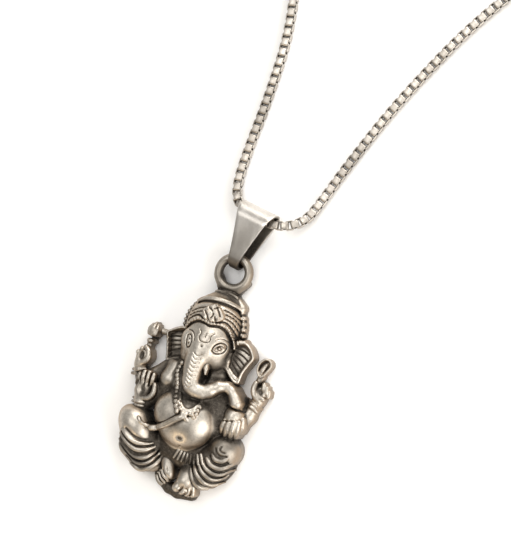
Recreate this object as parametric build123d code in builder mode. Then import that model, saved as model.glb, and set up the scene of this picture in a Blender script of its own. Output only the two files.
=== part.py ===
# A cast silver elephant-god pendant on a tapered bail and a box chain, laid flat on its back.
# +Z is up from the surface that it lies on, +Y runs from the feet to the crown, and +X is to the
# viewer's right. The origin is the middle of the figure's flat back. All lengths are in millimetres.
from build123d import *
import math
import os
from typing import NamedTuple

os.makedirs("parts", exist_ok=True)

# Driving dimensions
figure_width = 22.0
figure_height = 33.0
figure_depth = 8.0
backing_depth = 2.2
backing_inset = 0.15

ring_mean_radius = 2.4
ring_wall = 1.36
ring_depth = 2.1
ring_lift = 0.9
collar_radius = 1.5
collar_length = 2.2
collar_ridge = 0.3

bail_length = 10.3
bail_top_width = 6.4
bail_foot_width = 1.5
bail_flare = 0.2
bail_loop_thickness = 4.6
bail_sheet = 0.45
bail_ring_clearance = 0.42
bail_slack = 0.6
bail_swing_deg = 9.2
bail_roll_deg = 8.0

chain_width = 1.5
chain_clearance = 0.15
chain_seat_deg = 50.0
chain_end_gap = 0.1

clasp_diameter = 3.0
clasp_length = 9.0
clasp_socket_depth = 1.6
clasp_clearance = 0.1
clasp_edge = 0.6

# The figure is proportioned on a carver's grid of square-looking cells: 22 across its width, 33 up
# its height and 8 through its depth. The tables below are in cells, so each is a share of those sizes.
GRID_COLUMNS = 22
GRID_ROWS = 33
GRID_LAYERS = 8
column = figure_width / GRID_COLUMNS
row = figure_height / GRID_ROWS
layer = figure_depth / GRID_LAYERS


class Dome(NamedTuple):
    """A spheroid: its centre, its axis, and its half-sizes along that axis and across it."""
    x: float
    y: float
    z: float
    axis: str
    along: float
    across: float

    def half_sizes(self):
        """Its half-sizes along X, Y and Z."""
        return tuple(self.along if name == self.axis else self.across for name in "XYZ")


class Limb(NamedTuple):
    """A round-ended cone between two centres, with a radius at each."""
    x1: float
    y1: float
    z1: float
    r1: float
    x2: float
    y2: float
    z2: float
    r2: float


class Fold(NamedTuple):
    """A round ridge that follows the surface through three points in plan."""
    x1: float
    y1: float
    x2: float
    y2: float
    x3: float
    y3: float
    r: float


TORSO = [
    Dome(-0.2, -4.2, 3.5, "Z", 4.2, 4.65),  # belly
    Dome(-3.3, -3.6, 3.4, "Z", 3.1, 2.5),   # roll of the belly's side
    Dome(-0.2, 0.9, 2.5, "X", 4.7, 3.4),    # chest
    Dome(0.2, -8.9, 2.1, "X", 5.2, 3.0),    # lap
]
HEAD = [
    Dome(-0.2, 7.8, 3.7, "Y", 4.0, 3.6),    # skull
    Dome(2.0, 5.9, 4.1, "X", 1.7, 1.9),     # cheek beside the tusk
    Dome(-2.5, 5.9, 4.1, "Y", 1.9, 1.6),    # other cheek
    Dome(1.8, 3.6, 2.7, "X", 2.3, 1.7),     # jaw
]
CROWN = [
    Dome(-0.5, 10.3, 2.2, "Y", 5.5, 4.15),  # front of the cap
    Dome(-0.3, 10.5, 0.8, "Z", 1.7, 5.3),   # its back rim
    Dome(-0.3, 15.7, 1.7, "Y", 0.75, 1.85), # top lip
]
TRUNK = [
    Limb(-0.25, 8.3, 4.9, 2.0, -0.4, 6.4, 5.3, 1.85),
    Limb(-0.4, 6.35, 5.35, 1.82, -0.7, 4.4, 5.8, 1.5),
    Limb(-0.7, 4.35, 5.82, 1.47, -0.6, 2.6, 5.9, 1.26),
    Limb(-0.6, 2.55, 5.92, 1.24, -0.2, 1.3, 5.9, 1.2),
    Limb(-0.2, 1.27, 5.92, 1.17, 0.6, 0.65, 5.85, 1.13),
    Limb(0.62, 0.64, 5.87, 1.11, 1.8, 0.7, 5.7, 1.06),
    Limb(1.83, 0.71, 5.7, 1.04, 2.9, 1.4, 5.5, 0.92),
    Limb(2.92, 1.42, 5.5, 0.9, 3.9, 2.15, 5.2, 0.75),
    Limb(3.92, 2.17, 5.2, 0.73, 5.0, 2.55, 4.9, 0.64),
    Limb(5.02, 2.54, 4.9, 0.62, 5.9, 2.05, 4.8, 0.66),
    Limb(5.92, 2.03, 4.8, 0.64, 6.6, 1.1, 4.8, 0.76),
    Limb(6.62, 1.08, 4.8, 0.74, 7.0, 0.35, 4.8, 0.98),
]
TUSK = Limb(1.1, 5.0, 5.6, 0.42, 1.55, 3.5, 6.3, 0.2)
ARMS = [
    Limb(-4.2, 2.5, 3.0, 1.45, -4.8, -0.4, 3.2, 1.2),     # left upper arm
    Limb(-4.85, -0.6, 3.1, 1.1, -7.6, -3.5, 2.9, 1.15),   # left forearm
    Limb(-4.9, 3.1, 2.2, 1.35, -7.0, 0.6, 2.0, 1.2),      # left rear upper arm
    Limb(-7.05, 0.5, 1.9, 1.1, -9.2, -0.4, 1.8, 1.05),    # left rear forearm
    Limb(-9.3, -0.3, 1.9, 1.0, -10.0, 1.6, 2.0, 0.95),    # left rear wrist
    Limb(4.4, 2.3, 2.5, 1.5, 6.5, -0.8, 2.4, 1.4),        # right upper arm
    Limb(6.4, -0.7, 2.5, 1.3, 7.1, -1.0, 3.7, 1.2),       # right forearm
    Limb(7.7, -2.7, 1.9, 1.4, 9.1, 0.6, 2.0, 1.05),       # right rear forearm
]
LEGS = [
    Limb(-7.1, -8.9, 3.0, 2.6, -4.3, -11.8, 2.7, 2.1),    # left shin
    Limb(-7.3, -7.7, 3.3, 2.7, -3.1, -8.7, 2.9, 2.2),     # left thigh
    Limb(-5.1, -12.2, 2.2, 1.8, -3.3, -12.0, 2.3, 1.6),   # left hem
    Limb(-7.4, -10.5, 2.3, 2.2, -5.3, -12.1, 2.2, 1.95),  # left cloth below the shin
    Limb(6.7, -9.1, 3.0, 2.35, 5.0, -11.5, 2.8, 2.1),     # right shin
    Limb(6.6, -10.3, 2.3, 1.95, 5.5, -11.8, 2.2, 1.75),   # right cloth below the shin
    Limb(7.0, -7.5, 3.2, 2.3, 3.4, -8.6, 2.9, 2.1),       # right thigh
    Limb(-1.1, -10.9, 3.1, 1.2, -0.3, -12.6, 3.6, 1.0),   # left foot
    Limb(3.1, -12.1, 3.5, 1.35, 2.6, -13.8, 3.8, 1.25),   # right foot
    Limb(-1.5, -14.4, 1.5, 0.95, 1.1, -15.55, 1.5, 0.9),  # ledge under the feet
    Limb(1.12, -15.5, 1.6, 0.88, 3.5, -15.3, 1.6, 0.86),
]
KNEES = [
    Dome(-7.5, -7.4, 3.3, "Z", 3.1, 2.9),
    Dome(7.1, -7.0, 3.2, "Z", 3.0, 2.45),
]
HANDS = [
    Limb(-7.9, -3.4, 3.5, 1.15, -7.9, -1.1, 3.7, 1.4),    # left palm
    Limb(-10.0, 1.7, 2.1, 1.0, -10.05, 3.1, 2.2, 1.0),    # left rear palm
    Limb(7.15, -1.05, 3.9, 1.25, 7.2, -2.3, 4.3, 1.4),    # right hand's back
    Limb(9.6, 1.6, 2.1, 1.0, 9.8, 3.0, 2.2, 1.15),        # right rear palm
]
FINGERS = [
    Limb(-8.9, -0.5, 4.1, 0.4, -8.95, 0.75, 4.5, 0.36),   # left hand, raised
    Limb(-8.25, -0.4, 4.25, 0.4, -8.3, 0.95, 4.7, 0.36),
    Limb(-7.6, -0.4, 4.25, 0.4, -7.6, 0.95, 4.7, 0.36),
    Limb(-6.95, -0.5, 4.1, 0.38, -6.9, 0.75, 4.5, 0.34),
    Limb(-6.5, -2.4, 4.0, 0.5, -6.15, -0.6, 4.5, 0.38),
    Limb(-10.5, 3.2, 2.9, 0.42, -10.7, 4.05, 2.9, 0.34),  # left rear hand
    Limb(-10.7, 2.7, 2.8, 0.4, -11.0, 3.5, 2.7, 0.3),
    Limb(-9.2, 2.4, 2.7, 0.45, -9.55, 4.5, 2.8, 0.38),
    Limb(6.0, -2.9, 4.9, 0.44, 6.05, -4.2, 4.3, 0.4),     # right hand, over the knee
    Limb(6.8, -2.8, 5.2, 0.44, 6.85, -4.4, 4.6, 0.4),
    Limb(7.6, -2.8, 5.2, 0.44, 7.65, -4.4, 4.6, 0.4),
    Limb(8.35, -2.8, 4.9, 0.44, 8.4, -4.2, 4.3, 0.4),
    Limb(8.75, -1.9, 3.8, 0.45, 8.95, -3.3, 3.5, 0.38),
    Limb(8.9, 2.5, 2.7, 0.42, 8.55, 4.4, 2.8, 0.36),      # right rear hand
    Limb(9.75, 3.8, 2.6, 0.4, 9.9, 4.6, 2.6, 0.36),
    Limb(10.35, 3.2, 2.6, 0.4, 10.5, 4.05, 2.6, 0.34),
    Limb(10.75, 2.6, 2.4, 0.38, 10.95, 3.35, 2.4, 0.3),
]
TOES = [
    Limb(-0.1, -12.9, 4.0, 0.62, 0.1, -13.4, 4.1, 0.52),
    Limb(-0.75, -13.3, 3.6, 0.5, -0.8, -13.9, 3.5, 0.42),
    Limb(-1.25, -13.6, 3.0, 0.5, -1.5, -14.3, 2.8, 0.42),
    Limb(1.9, -14.2, 4.0, 0.66, 1.75, -14.8, 3.9, 0.56),
    Limb(2.65, -14.5, 3.9, 0.5, 2.7, -15.1, 3.7, 0.42),
    Limb(3.3, -14.5, 3.6, 0.48, 3.45, -15.15, 3.4, 0.4),
    Limb(3.85, -14.2, 3.3, 0.45, 4.1, -14.9, 3.0, 0.36),
]
EMBLEMS = [
    Limb(-9.65, 3.0, 1.9, 0.55, -9.6, 5.3, 1.9, 0.5),     # bud's stem
    Limb(-8.9, 7.45, 1.1, 0.5, -7.0, 7.55, 1.1, 0.45),    # tie from the bud to the ear
    Limb(8.6, 4.9, 1.7, 0.6, 9.3, 7.5, 1.9, 0.98),        # noose
]
BUD = [
    Dome(-9.5, 7.25, 2.0, "Y", 1.25, 1.05),
    Dome(-9.65, 6.0, 2.0, "Y", 0.45, 1.0),
]
EAR_LEFT = [(-3.6, 9.0), (-4.8, 9.35), (-5.8, 9.0), (-6.8, 8.3), (-7.3, 7.7), (-6.9, 6.4),
            (-6.4, 4.6), (-6.1, 3.6), (-5.0, 3.9), (-3.2, 5.2)]
EAR_RIGHT = [(3.0, 8.6), (4.8, 9.7), (5.9, 9.6), (6.8, 8.8), (7.3, 7.7), (6.8, 6.3),
             (6.2, 4.9), (6.1, 3.4), (5.4, 3.4), (4.0, 4.6), (2.9, 6.0)]
EAR_DEPTH_LEFT = 2.7
EAR_DEPTH_RIGHT = 3.3
EAR_RIM = 0.5
EAR_DISH = 0.8
EAR_RIBS = [
    Limb(3.9, 7.8, 2.45, 0.3, 6.0, 7.2, 2.45, 0.22),
    Limb(3.8, 6.9, 2.45, 0.3, 5.8, 6.0, 2.45, 0.22),
    Limb(4.1, 5.9, 2.45, 0.28, 5.6, 4.9, 2.45, 0.2),
    Limb(-4.2, 7.6, 1.85, 0.3, -6.3, 7.0, 1.85, 0.22),
    Limb(-4.2, 6.5, 1.85, 0.3, -6.0, 5.8, 1.85, 0.22),
    Limb(-4.1, 5.5, 1.85, 0.28, -5.8, 4.6, 1.85, 0.2),
]
BANDS = [
    Fold(-4.35, 9.3, -0.4, 11.2, 3.55, 9.3, 0.42),
    Fold(-4.2, 11.0, -0.4, 12.5, 3.5, 11.0, 0.32),
    Fold(-3.7, 12.4, -0.4, 13.6, 3.0, 12.4, 0.32),
    Fold(-3.0, 14.0, -0.4, 14.75, 2.3, 14.0, 0.45),
]
FOLDS_LEFT = [
    Fold(-9.0, -9.3, -6.6, -10.0, -3.9, -9.3, 0.34),
    Fold(-8.9, -10.3, -5.9, -11.1, -3.3, -9.8, 0.34),
    Fold(-8.4, -11.3, -5.4, -12.2, -2.7, -10.2, 0.36),
    Fold(-7.4, -12.3, -4.8, -13.0, -2.3, -10.6, 0.34),
]
FOLDS_RIGHT = [
    Fold(5.0, -8.9, 7.0, -10.0, 9.0, -9.0, 0.34),
    Fold(4.2, -9.6, 6.6, -11.0, 8.8, -10.0, 0.34),
    Fold(3.6, -10.4, 5.8, -12.2, 8.2, -11.2, 0.34),
    Fold(3.1, -11.2, 4.7, -13.0, 6.9, -12.6, 0.34),
]
SASH = Fold(-5.9, -6.7, -3.2, -6.4, -0.8, -3.9, 0.36)
ORNAMENT = Dome(-0.4, 12.6, 4.6, "Z", 1.2, 1.72)
NAVEL = Dome(0.75, -7.1, 7.0, "Z", 0.9, 0.47)
EYES = [
    Dome(-2.7, 7.5, 5.9, "Y", 0.7, 0.62),
    Dome(2.45, 7.55, 5.9, "X", 0.85, 0.65),
]
# A spheroid's outline is three arcs, and this share sets how far its end caps follow an ellipse's.
OVAL_CAP_SHARE = 0.8
# The necklace hangs in half an ellipse about this centre.
NECKLACE_CENTRE = (-0.3, -0.2)
NECKLACE_HALF = (2.3, 3.1)
NECKLACE_BEADS = 11
NECKLACE_BEAD_RADIUS = 0.42
NECKLACE_START_DEG = 178.0
NECKLACE_END_DEG = 352.0
# Beads edge the crown's back rim on both sides.
BORDER_CENTRE = (-0.3, 10.4)
BORDER_RADIUS = 4.95
BORDER_BEADS = 7
BORDER_BEAD_RADIUS = 0.4
BORDER_BEAD_HALF_LENGTH = 0.35
BORDER_SLANT = 0.05
BORDER_LAYER = 1.7
BORDER_START_DEG = -6.0
BORDER_END_DEG = 56.5
# A fringe of pleats hangs below the belly.
FRINGE_PLEATS = 8
FRINGE_CENTRE = (1.4, -5.2)
FRINGE_RADIUS = 4.55
FRINGE_LENGTH = 1.2
FRINGE_PLEAT_RADIUS = 0.24
FRINGE_START_DEG = 245.0
FRINGE_END_DEG = 305.0

# The chain's route in plan, from its crossing of the bail outwards, as offsets in millimetres from
# that crossing, with each point's height as a share of the chain's half width.
ROUTE_LEFT = [
    (-3.3, 0.6, 2.2),
    (-5.1, 3.3, 1.35),
    (-5.2, 8.9, 1.0),
    (-4.4, 18.8, 1.0),
    (-4.3, 31.5, 1.0),
    (-9.3, 52.0, 1.0),
    (-19.5, 75.5, 1.0),
    (-27.0, 103.0, 1.0),
    (-26.0, 131.5, 1.0),
    (-13.0, 159.5, 1.0),
    (6.0, 176.7, 1.0),
]
ROUTE_RIGHT = [
    (3.3, -0.65, 3.4),
    (7.0, 1.3, 1.9),
    (8.6, 5.4, 1.15),
    (10.8, 11.8, 1.0),
    (15.7, 23.9, 1.0),
    (24.5, 40.5, 1.0),
    (39.5, 59.0, 1.0),
    (58.5, 80.5, 1.0),
    (73.0, 106.5, 1.0),
    (76.5, 135.5, 1.0),
    (65.0, 163.5, 1.0),
    (45.5, 177.7, 1.0),
]
# The clasp lies across the far end of the loop, at this offset from the crossing.
CLASP_OFFSET = (27.5, 180.2)
CLASP_APPROACH = 8.0


def at(x, y, z):
    """The point at those grid cells, in millimetres."""
    return Vector(x * column, y * row, z * layer)


def add_dome(dome, mode=Mode.ADD):
    """Adds the spheroid of a Dome to the part in hand, by turning half an oval of three arcs."""
    centre = at(dome.x, dome.y, dome.z)
    along = Vector(*(float(name == dome.axis) for name in "XYZ"))
    across = along.cross(Vector(0.37, 0.52, 0.77)).normalized()
    half_length = dome.along * row
    half_width = dome.across * row
    cap = (half_width ** 2 / half_length) ** OVAL_CAP_SHARE * half_width ** (1 - OVAL_CAP_SHARE)
    cap_centre = half_length - cap
    flank = (half_length ** 2 + half_width ** 2 - 2 * half_length * cap) / 2 / (half_width - cap)
    flank_centre = half_width - flank
    join = math.atan2(flank_centre, -cap_centre) if cap > flank else math.atan2(
        -flank_centre, cap_centre)
    cap_mid = (cap_centre + cap * math.cos(join / 2), cap * math.sin(join / 2))
    cap_end = (cap_centre + cap * math.cos(join), cap * math.sin(join))
    with BuildSketch(Plane(origin=centre, x_dir=along, z_dir=along.cross(across)),
                     mode=Mode.PRIVATE) as half:
        with BuildLine():
            ThreePointArc((half_length, 0), cap_mid, cap_end)
            ThreePointArc(cap_end, (0, half_width), (-cap_end[0], cap_end[1]))
            ThreePointArc((-cap_end[0], cap_end[1]), (-cap_mid[0], cap_mid[1]), (-half_length, 0))
            Line((-half_length, 0), (half_length, 0))
        make_face()
    revolve(half.sketch, axis=Axis(centre, along), clean=False, mode=mode)


def add_taper(start, start_radius, end, end_radius):
    """Adds a round-ended cone between two points, by turning its half outline about its axis."""
    length = (end - start).length
    along = (end - start).normalized()
    across = along.cross(Vector(0.13, 0.31, 0.94)).normalized()
    lean = math.acos((start_radius - end_radius) / length)
    near = (start_radius * math.cos(lean), start_radius * math.sin(lean))
    far = (length + end_radius * math.cos(lean), end_radius * math.sin(lean))
    near_mid = ((math.pi + lean) / 2, start_radius)
    far_mid = (lean / 2, end_radius)
    with BuildSketch(Plane(origin=start, x_dir=along, z_dir=along.cross(across)),
                     mode=Mode.PRIVATE) as half:
        with BuildLine():
            ThreePointArc(
                (-start_radius, 0),
                (near_mid[1] * math.cos(near_mid[0]), near_mid[1] * math.sin(near_mid[0])),
                near,
            )
            Line(near, far)
            ThreePointArc(
                far,
                (length + far_mid[1] * math.cos(far_mid[0]), far_mid[1] * math.sin(far_mid[0])),
                (length + end_radius, 0),
            )
            Line((length + end_radius, 0), (-start_radius, 0))
        make_face()
    revolve(half.sketch, axis=Axis(start, along), clean=False)


def add_limb(limb):
    """Adds the round-ended cone of a Limb to the part in hand."""
    add_taper(at(limb.x1, limb.y1, limb.z1), limb.r1 * row, at(limb.x2, limb.y2, limb.z2),
              limb.r2 * row)


def surface_layer(x, y, domes, limbs=()):
    """The highest layer that those domes and limbs reach over a grid point, or 0 outside them."""
    top = 0.0
    for d in domes:
        half_x, half_y, half_z = d.half_sizes()
        share = 1 - ((x - d.x) / half_x) ** 2 - ((y - d.y) / half_y) ** 2
        if share > 0:
            top = max(top, d.z + half_z * math.sqrt(share))
    for m in limbs:
        run = (m.x2 - m.x1, m.y2 - m.y1)
        t = ((x - m.x1) * run[0] + (y - m.y1) * run[1]) / (run[0] ** 2 + run[1] ** 2)
        t = min(1.0, max(0.0, t))
        radius = m.r1 + t * (m.r2 - m.r1)
        gap = math.hypot(x - m.x1 - t * run[0], y - m.y1 - t * run[1])
        if gap < radius:
            top = max(top, m.z1 + t * (m.z2 - m.z1) + math.sqrt(radius ** 2 - gap ** 2))
    return top


def add_fold(fold, domes, limbs=(), sink=0.1):
    """Adds a ridge of round section on the arc through a Fold's three points on the surface."""
    points = [
        at(x, y, surface_layer(x, y, domes, limbs) - sink)
        for x, y in ((fold.x1, fold.y1), (fold.x2, fold.y2), (fold.x3, fold.y3))
    ]
    with BuildLine(mode=Mode.PRIVATE) as path:
        ThreePointArc(*points)
    section = Plane(origin=path.line @ 0, z_dir=path.line % 0)
    with BuildSketch(section, mode=Mode.PRIVATE) as round_section:
        Circle(fold.r * row)
    sweep(round_section.sketch, path=path.line, clean=False)


def shadow(limb, inset):
    """Adds the plan outline of a Limb to the sketch in hand, drawn in by the inset."""
    start = (limb.x1 * column, limb.y1 * row)
    end = (limb.x2 * column, limb.y2 * row)
    start_radius = limb.r1 * row - inset
    end_radius = limb.r2 * row - inset
    with Locations(start):
        Circle(start_radius)
    with Locations(end):
        Circle(end_radius)
    gap = (end[0] - start[0], end[1] - start[1])
    length = math.hypot(*gap)
    if length <= abs(start_radius - end_radius):
        return
    turn = math.atan2(gap[1], gap[0])
    lean = math.acos((start_radius - end_radius) / length)
    corners = [
        (centre[0] + radius * math.cos(turn + side * lean),
         centre[1] + radius * math.sin(turn + side * lean))
        for centre, radius, side in ((start, start_radius, 1), (end, end_radius, 1),
                                     (end, end_radius, -1), (start, start_radius, -1))
    ]
    Polygon(*corners, align=None)


def drawn_in(points, rim):
    """Grid points drawn in towards their middle by a rim's width."""
    middle_x = sum(x for x, _ in points) / len(points)
    middle_y = sum(y for _, y in points) / len(points)
    inner = []
    for x, y in points:
        share = 1 - rim / math.hypot(x - middle_x, y - middle_y)
        inner.append((middle_x + (x - middle_x) * share, middle_y + (y - middle_y) * share))
    return inner


def plan(points):
    """Grid points in plan, in millimetres."""
    return [(x * column, y * row) for x, y in points]


# The ring stands this far above the crown's top lip, and the bail's tip this far to the side.
RING_RISE = 2.9
BAIL_TIP_SHIFT = 0.08

# Figure: a flat backing in the outline of every form, with the forms raised on it in full relief.
with BuildPart() as backing:
    with BuildSketch() as outline:
        for d in TORSO + HEAD + CROWN + KNEES + BUD:
            with Locations((d.x * column, d.y * row)):
                half_x, half_y, _ = d.half_sizes()
                Ellipse(half_x * row - backing_inset, half_y * row - backing_inset)
        for m in ARMS + LEGS + HANDS + EMBLEMS + TOES + FINGERS:
            shadow(m, backing_inset)
    extrude(amount=backing_depth)

with BuildPart() as torso:
    for d in TORSO:
        add_dome(d)
    add_fold(SASH, TORSO)
    for i in range(NECKLACE_BEADS):
        share = i / (NECKLACE_BEADS - 1)
        turn = math.radians(NECKLACE_START_DEG + share * (NECKLACE_END_DEG - NECKLACE_START_DEG))
        bead_x = NECKLACE_CENTRE[0] + NECKLACE_HALF[0] * math.cos(turn)
        bead_y = NECKLACE_CENTRE[1] + NECKLACE_HALF[1] * math.sin(turn)
        bead = Sphere(NECKLACE_BEAD_RADIUS * row, mode=Mode.PRIVATE)
        add(bead.moved(Location(at(bead_x, bead_y, surface_layer(bead_x, bead_y, TORSO)))),
            clean=False)
    for i in range(FRINGE_PLEATS):
        share = i / (FRINGE_PLEATS - 1)
        turn = math.radians(FRINGE_START_DEG + share * (FRINGE_END_DEG - FRINGE_START_DEG))
        top_x = FRINGE_CENTRE[0] + FRINGE_RADIUS * math.cos(turn)
        top_y = FRINGE_CENTRE[1] + FRINGE_RADIUS * math.sin(turn)
        foot_x = FRINGE_CENTRE[0] + (FRINGE_RADIUS + FRINGE_LENGTH) * math.cos(turn)
        foot_y = FRINGE_CENTRE[1] + (FRINGE_RADIUS + FRINGE_LENGTH) * math.sin(turn)
        depth = surface_layer(foot_x, foot_y, TORSO)
        add_limb(Limb(top_x, top_y, depth, FRINGE_PLEAT_RADIUS, foot_x, foot_y, depth,
                      FRINGE_PLEAT_RADIUS * 0.8))
    add_dome(NAVEL, mode=Mode.SUBTRACT)

with BuildPart() as head:
    for d in HEAD:
        add_dome(d)
    for d in EYES:
        add_dome(d)
    for m in TRUNK:
        add_limb(m)
    add_limb(TUSK)

with BuildPart() as crown:
    for d in CROWN:
        add_dome(d)
    for f in BANDS:
        add_fold(f, CROWN)
    add_dome(ORNAMENT)
    for i in range(BORDER_BEADS):
        share = i / (BORDER_BEADS - 1)
        turn = math.radians(BORDER_START_DEG + share * (BORDER_END_DEG - BORDER_START_DEG))
        inner = BORDER_RADIUS - BORDER_BEAD_HALF_LENGTH
        outer = BORDER_RADIUS + BORDER_BEAD_HALF_LENGTH
        for side in (-1, 1):
            add_limb(Limb(BORDER_CENTRE[0] + side * inner * math.cos(turn),
                          BORDER_CENTRE[1] + inner * math.sin(turn - BORDER_SLANT), BORDER_LAYER,
                          BORDER_BEAD_RADIUS,
                          BORDER_CENTRE[0] + side * outer * math.cos(turn),
                          BORDER_CENTRE[1] + outer * math.sin(turn), BORDER_LAYER,
                          BORDER_BEAD_RADIUS * 0.9))

with BuildPart() as ears:
    for outline_points, depth in ((EAR_LEFT, EAR_DEPTH_LEFT), (EAR_RIGHT, EAR_DEPTH_RIGHT)):
        with BuildSketch() as ear_outline:
            with BuildLine():
                Spline(*plan(outline_points), periodic=True)
            make_face()
        extrude(ear_outline.sketch, amount=depth * layer)
        with BuildSketch(Plane.XY.offset((depth - EAR_DISH) * layer)) as dish:
            with BuildLine():
                Spline(*plan(drawn_in(outline_points, EAR_RIM)), periodic=True)
            make_face()
        extrude(dish.sketch, amount=EAR_DISH * 2 * layer, mode=Mode.SUBTRACT)
    for m in EAR_RIBS:
        add_limb(m)

with BuildPart() as arms:
    for m in ARMS + HANDS + FINGERS + EMBLEMS:
        add_limb(m)
    for d in BUD:
        add_dome(d)

with BuildPart() as legs:
    for m in LEGS + TOES:
        add_limb(m)
    for d in KNEES:
        add_dome(d)
    for f in FOLDS_LEFT + FOLDS_RIGHT:
        add_fold(f, KNEES, LEGS)


ring_centre = Vector(0, figure_height / 2 + RING_RISE, ring_lift + ring_depth / 2)

with BuildPart() as figure:
    for group in (backing, torso, legs, arms, ears, head, crown):
        add(group.part, clean=False)
    collar_top = ring_centre.Y - ring_mean_radius
    collar_plane = Plane(origin=(0, collar_top, ring_centre.Z), z_dir=(0, -1, 0))
    with BuildSketch(collar_plane) as collar_section:
        Circle(collar_radius)
    extrude(collar_section.sketch, amount=collar_length, clean=False)
    with BuildSketch(Plane.XZ.offset(-ring_centre.Y)) as ring_section:
        with Locations((ring_mean_radius, ring_centre.Z)):
            Ellipse(ring_wall / 2, ring_depth / 2)
    revolve(ring_section.sketch, axis=Axis(ring_centre, (0, 0, 1)), clean=False)
    ridge_plane = Plane(origin=(0, collar_top, ring_centre.Z), x_dir=(1, 0, 0), z_dir=(0, 0, 1))
    with BuildSketch(ridge_plane) as ridge_section:
        with Locations((collar_radius, -collar_ridge), (collar_radius, -collar_length / 2)):
            Circle(collar_ridge)
    revolve(ridge_section.sketch, axis=Axis((0, 0, ring_centre.Z), (0, 1, 0)), clean=False)
    split(bisect_by=Plane.XY, keep=Keep.TOP)
figure.part.label = "figure"
export_step(figure.part, "parts/figure.step")

# Bail: a strip of sheet that is wide at the fold and narrow at the foot, bent into a closed loop.
foot_radius = ring_depth / 2 + bail_ring_clearance + bail_sheet
top_radius = bail_loop_thickness / 2
swing = math.radians(bail_swing_deg)
roll = math.radians(bail_roll_deg)
pitch = math.asin((bail_top_width - bail_foot_width) / 2 * math.sin(roll) / bail_length)
bail_tip = Vector(
    BAIL_TIP_SHIFT,
    ring_centre.Y + ring_mean_radius - ring_wall / 2 - bail_slack - bail_sheet,
    bail_foot_width / 2 * math.sin(roll),
)
bail_along = Vector(math.sin(swing) * math.cos(pitch), math.cos(swing) * math.cos(pitch),
                    math.sin(pitch))
level_across = bail_along.cross(Vector(0, 0, 1)).normalized()
bail_across = level_across.rotate(Axis((0, 0, 0), bail_along), -bail_roll_deg)
bail_plane = Plane(origin=bail_tip, x_dir=bail_across, z_dir=bail_across.cross(bail_along))
bail_side = Plane(origin=bail_tip, x_dir=bail_along, z_dir=bail_across)

with BuildPart() as bail:
    with BuildSketch(bail_side) as loop:
        with Locations((foot_radius, foot_radius)):
            Circle(foot_radius)
        with Locations((bail_length - top_radius, top_radius)):
            Circle(top_radius)
        make_hull()
        offset(amount=-bail_sheet, mode=Mode.SUBTRACT)
    extrude(amount=bail_top_width, both=True)
    with BuildSketch(bail_plane) as strip:
        with BuildLine():
            Line((-bail_foot_width / 2, 0), (bail_foot_width / 2, 0))
            ThreePointArc(
                (bail_foot_width / 2, 0),
                ((bail_foot_width + bail_top_width) / 4 - bail_flare, bail_length / 2),
                (bail_top_width / 2, bail_length),
            )
            Line((bail_top_width / 2, bail_length), (-bail_top_width / 2, bail_length))
            ThreePointArc(
                (-bail_top_width / 2, bail_length),
                (bail_flare - (bail_foot_width + bail_top_width) / 4, bail_length / 2),
                (-bail_foot_width / 2, 0),
            )
        make_face()
    extrude(amount=bail_loop_thickness * 2, mode=Mode.INTERSECT)
bail.part.label = "bail"
export_step(bail.part, "parts/bail.step")

# Chain: two strands that meet inside the bail's fold and end in the clasp's sockets.
seat_reach = top_radius - bail_sheet - chain_clearance - chain_width / 2
seat_turn = math.radians(chain_seat_deg)
crossing = bail_plane.from_local_coords(Vector(
    0,
    bail_length - top_radius + seat_reach * math.cos(seat_turn),
    top_radius - seat_reach * math.sin(seat_turn),
))
clasp_centre = Vector(crossing.X + CLASP_OFFSET[0], crossing.Y + CLASP_OFFSET[1],
                      clasp_diameter / 2)


def strand_points(route, side):
    """The strand's points, from inside the bail to inside the clasp's socket on that side."""
    middle = [
        Vector(crossing.X + x, crossing.Y + y, share * chain_width / 2) for x, y, share in route
    ]
    start = crossing + (middle[0] - crossing).normalized() * (chain_end_gap / 2)
    reach = clasp_length / 2 - clasp_socket_depth + clasp_clearance
    end = clasp_centre + Vector(side * reach, 0, 0)
    return [start] + middle + [end + Vector(side * CLASP_APPROACH, 0, 0), end]


def bend_radii(points):
    """Each corner's radius: 0.45 of its shorter run over the tangent of half its turn."""
    radii = []
    for before, corner, after in zip(points, points[1:], points[2:]):
        shorter = min((corner - before).length, (after - corner).length)
        half_turn = math.radians((corner - before).get_angle(after - corner)) / 2
        radii.append(0.45 * shorter / math.tan(half_turn))
    return radii


with BuildPart() as chain_left:
    left_points = strand_points(ROUTE_LEFT, -1)
    with BuildLine() as left_path:
        FilletPolyline(*left_points, radius=bend_radii(left_points))
    with BuildSketch(Plane(origin=left_path.line @ 0, z_dir=left_path.line % 0)):
        Circle(chain_width / 2)
    sweep()
chain_left.part.label = "chain_left"
export_step(chain_left.part, "parts/chain_left.step")

with BuildPart() as chain_right:
    right_points = strand_points(ROUTE_RIGHT, 1)
    with BuildLine() as right_path:
        FilletPolyline(*right_points, radius=bend_radii(right_points))
    with BuildSketch(Plane(origin=right_path.line @ 0, z_dir=right_path.line % 0)):
        Circle(chain_width / 2)
    sweep()
chain_right.part.label = "chain_right"
export_step(chain_right.part, "parts/chain_right.step")

# Clasp: one plain barrel with a socket in each end for the chain.
with BuildPart() as clasp:
    with BuildSketch(Plane.YZ.offset(clasp_centre.X - clasp_length / 2)) as barrel:
        with Locations((clasp_centre.Y, clasp_centre.Z)):
            Circle(clasp_diameter / 2)
    extrude(amount=clasp_length)
    fillet(clasp.edges().filter_by(GeomType.CIRCLE), radius=clasp_edge)
    for side in (-1, 1):
        mouth = Plane(origin=clasp_centre + Vector(side * clasp_length / 2, 0, 0),
                      z_dir=(-side, 0, 0))
        with BuildSketch(mouth):
            Circle(chain_width / 2 + clasp_clearance)
        extrude(amount=clasp_socket_depth, mode=Mode.SUBTRACT)
clasp.part.label = "clasp"
export_step(clasp.part, "parts/clasp.step")

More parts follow.
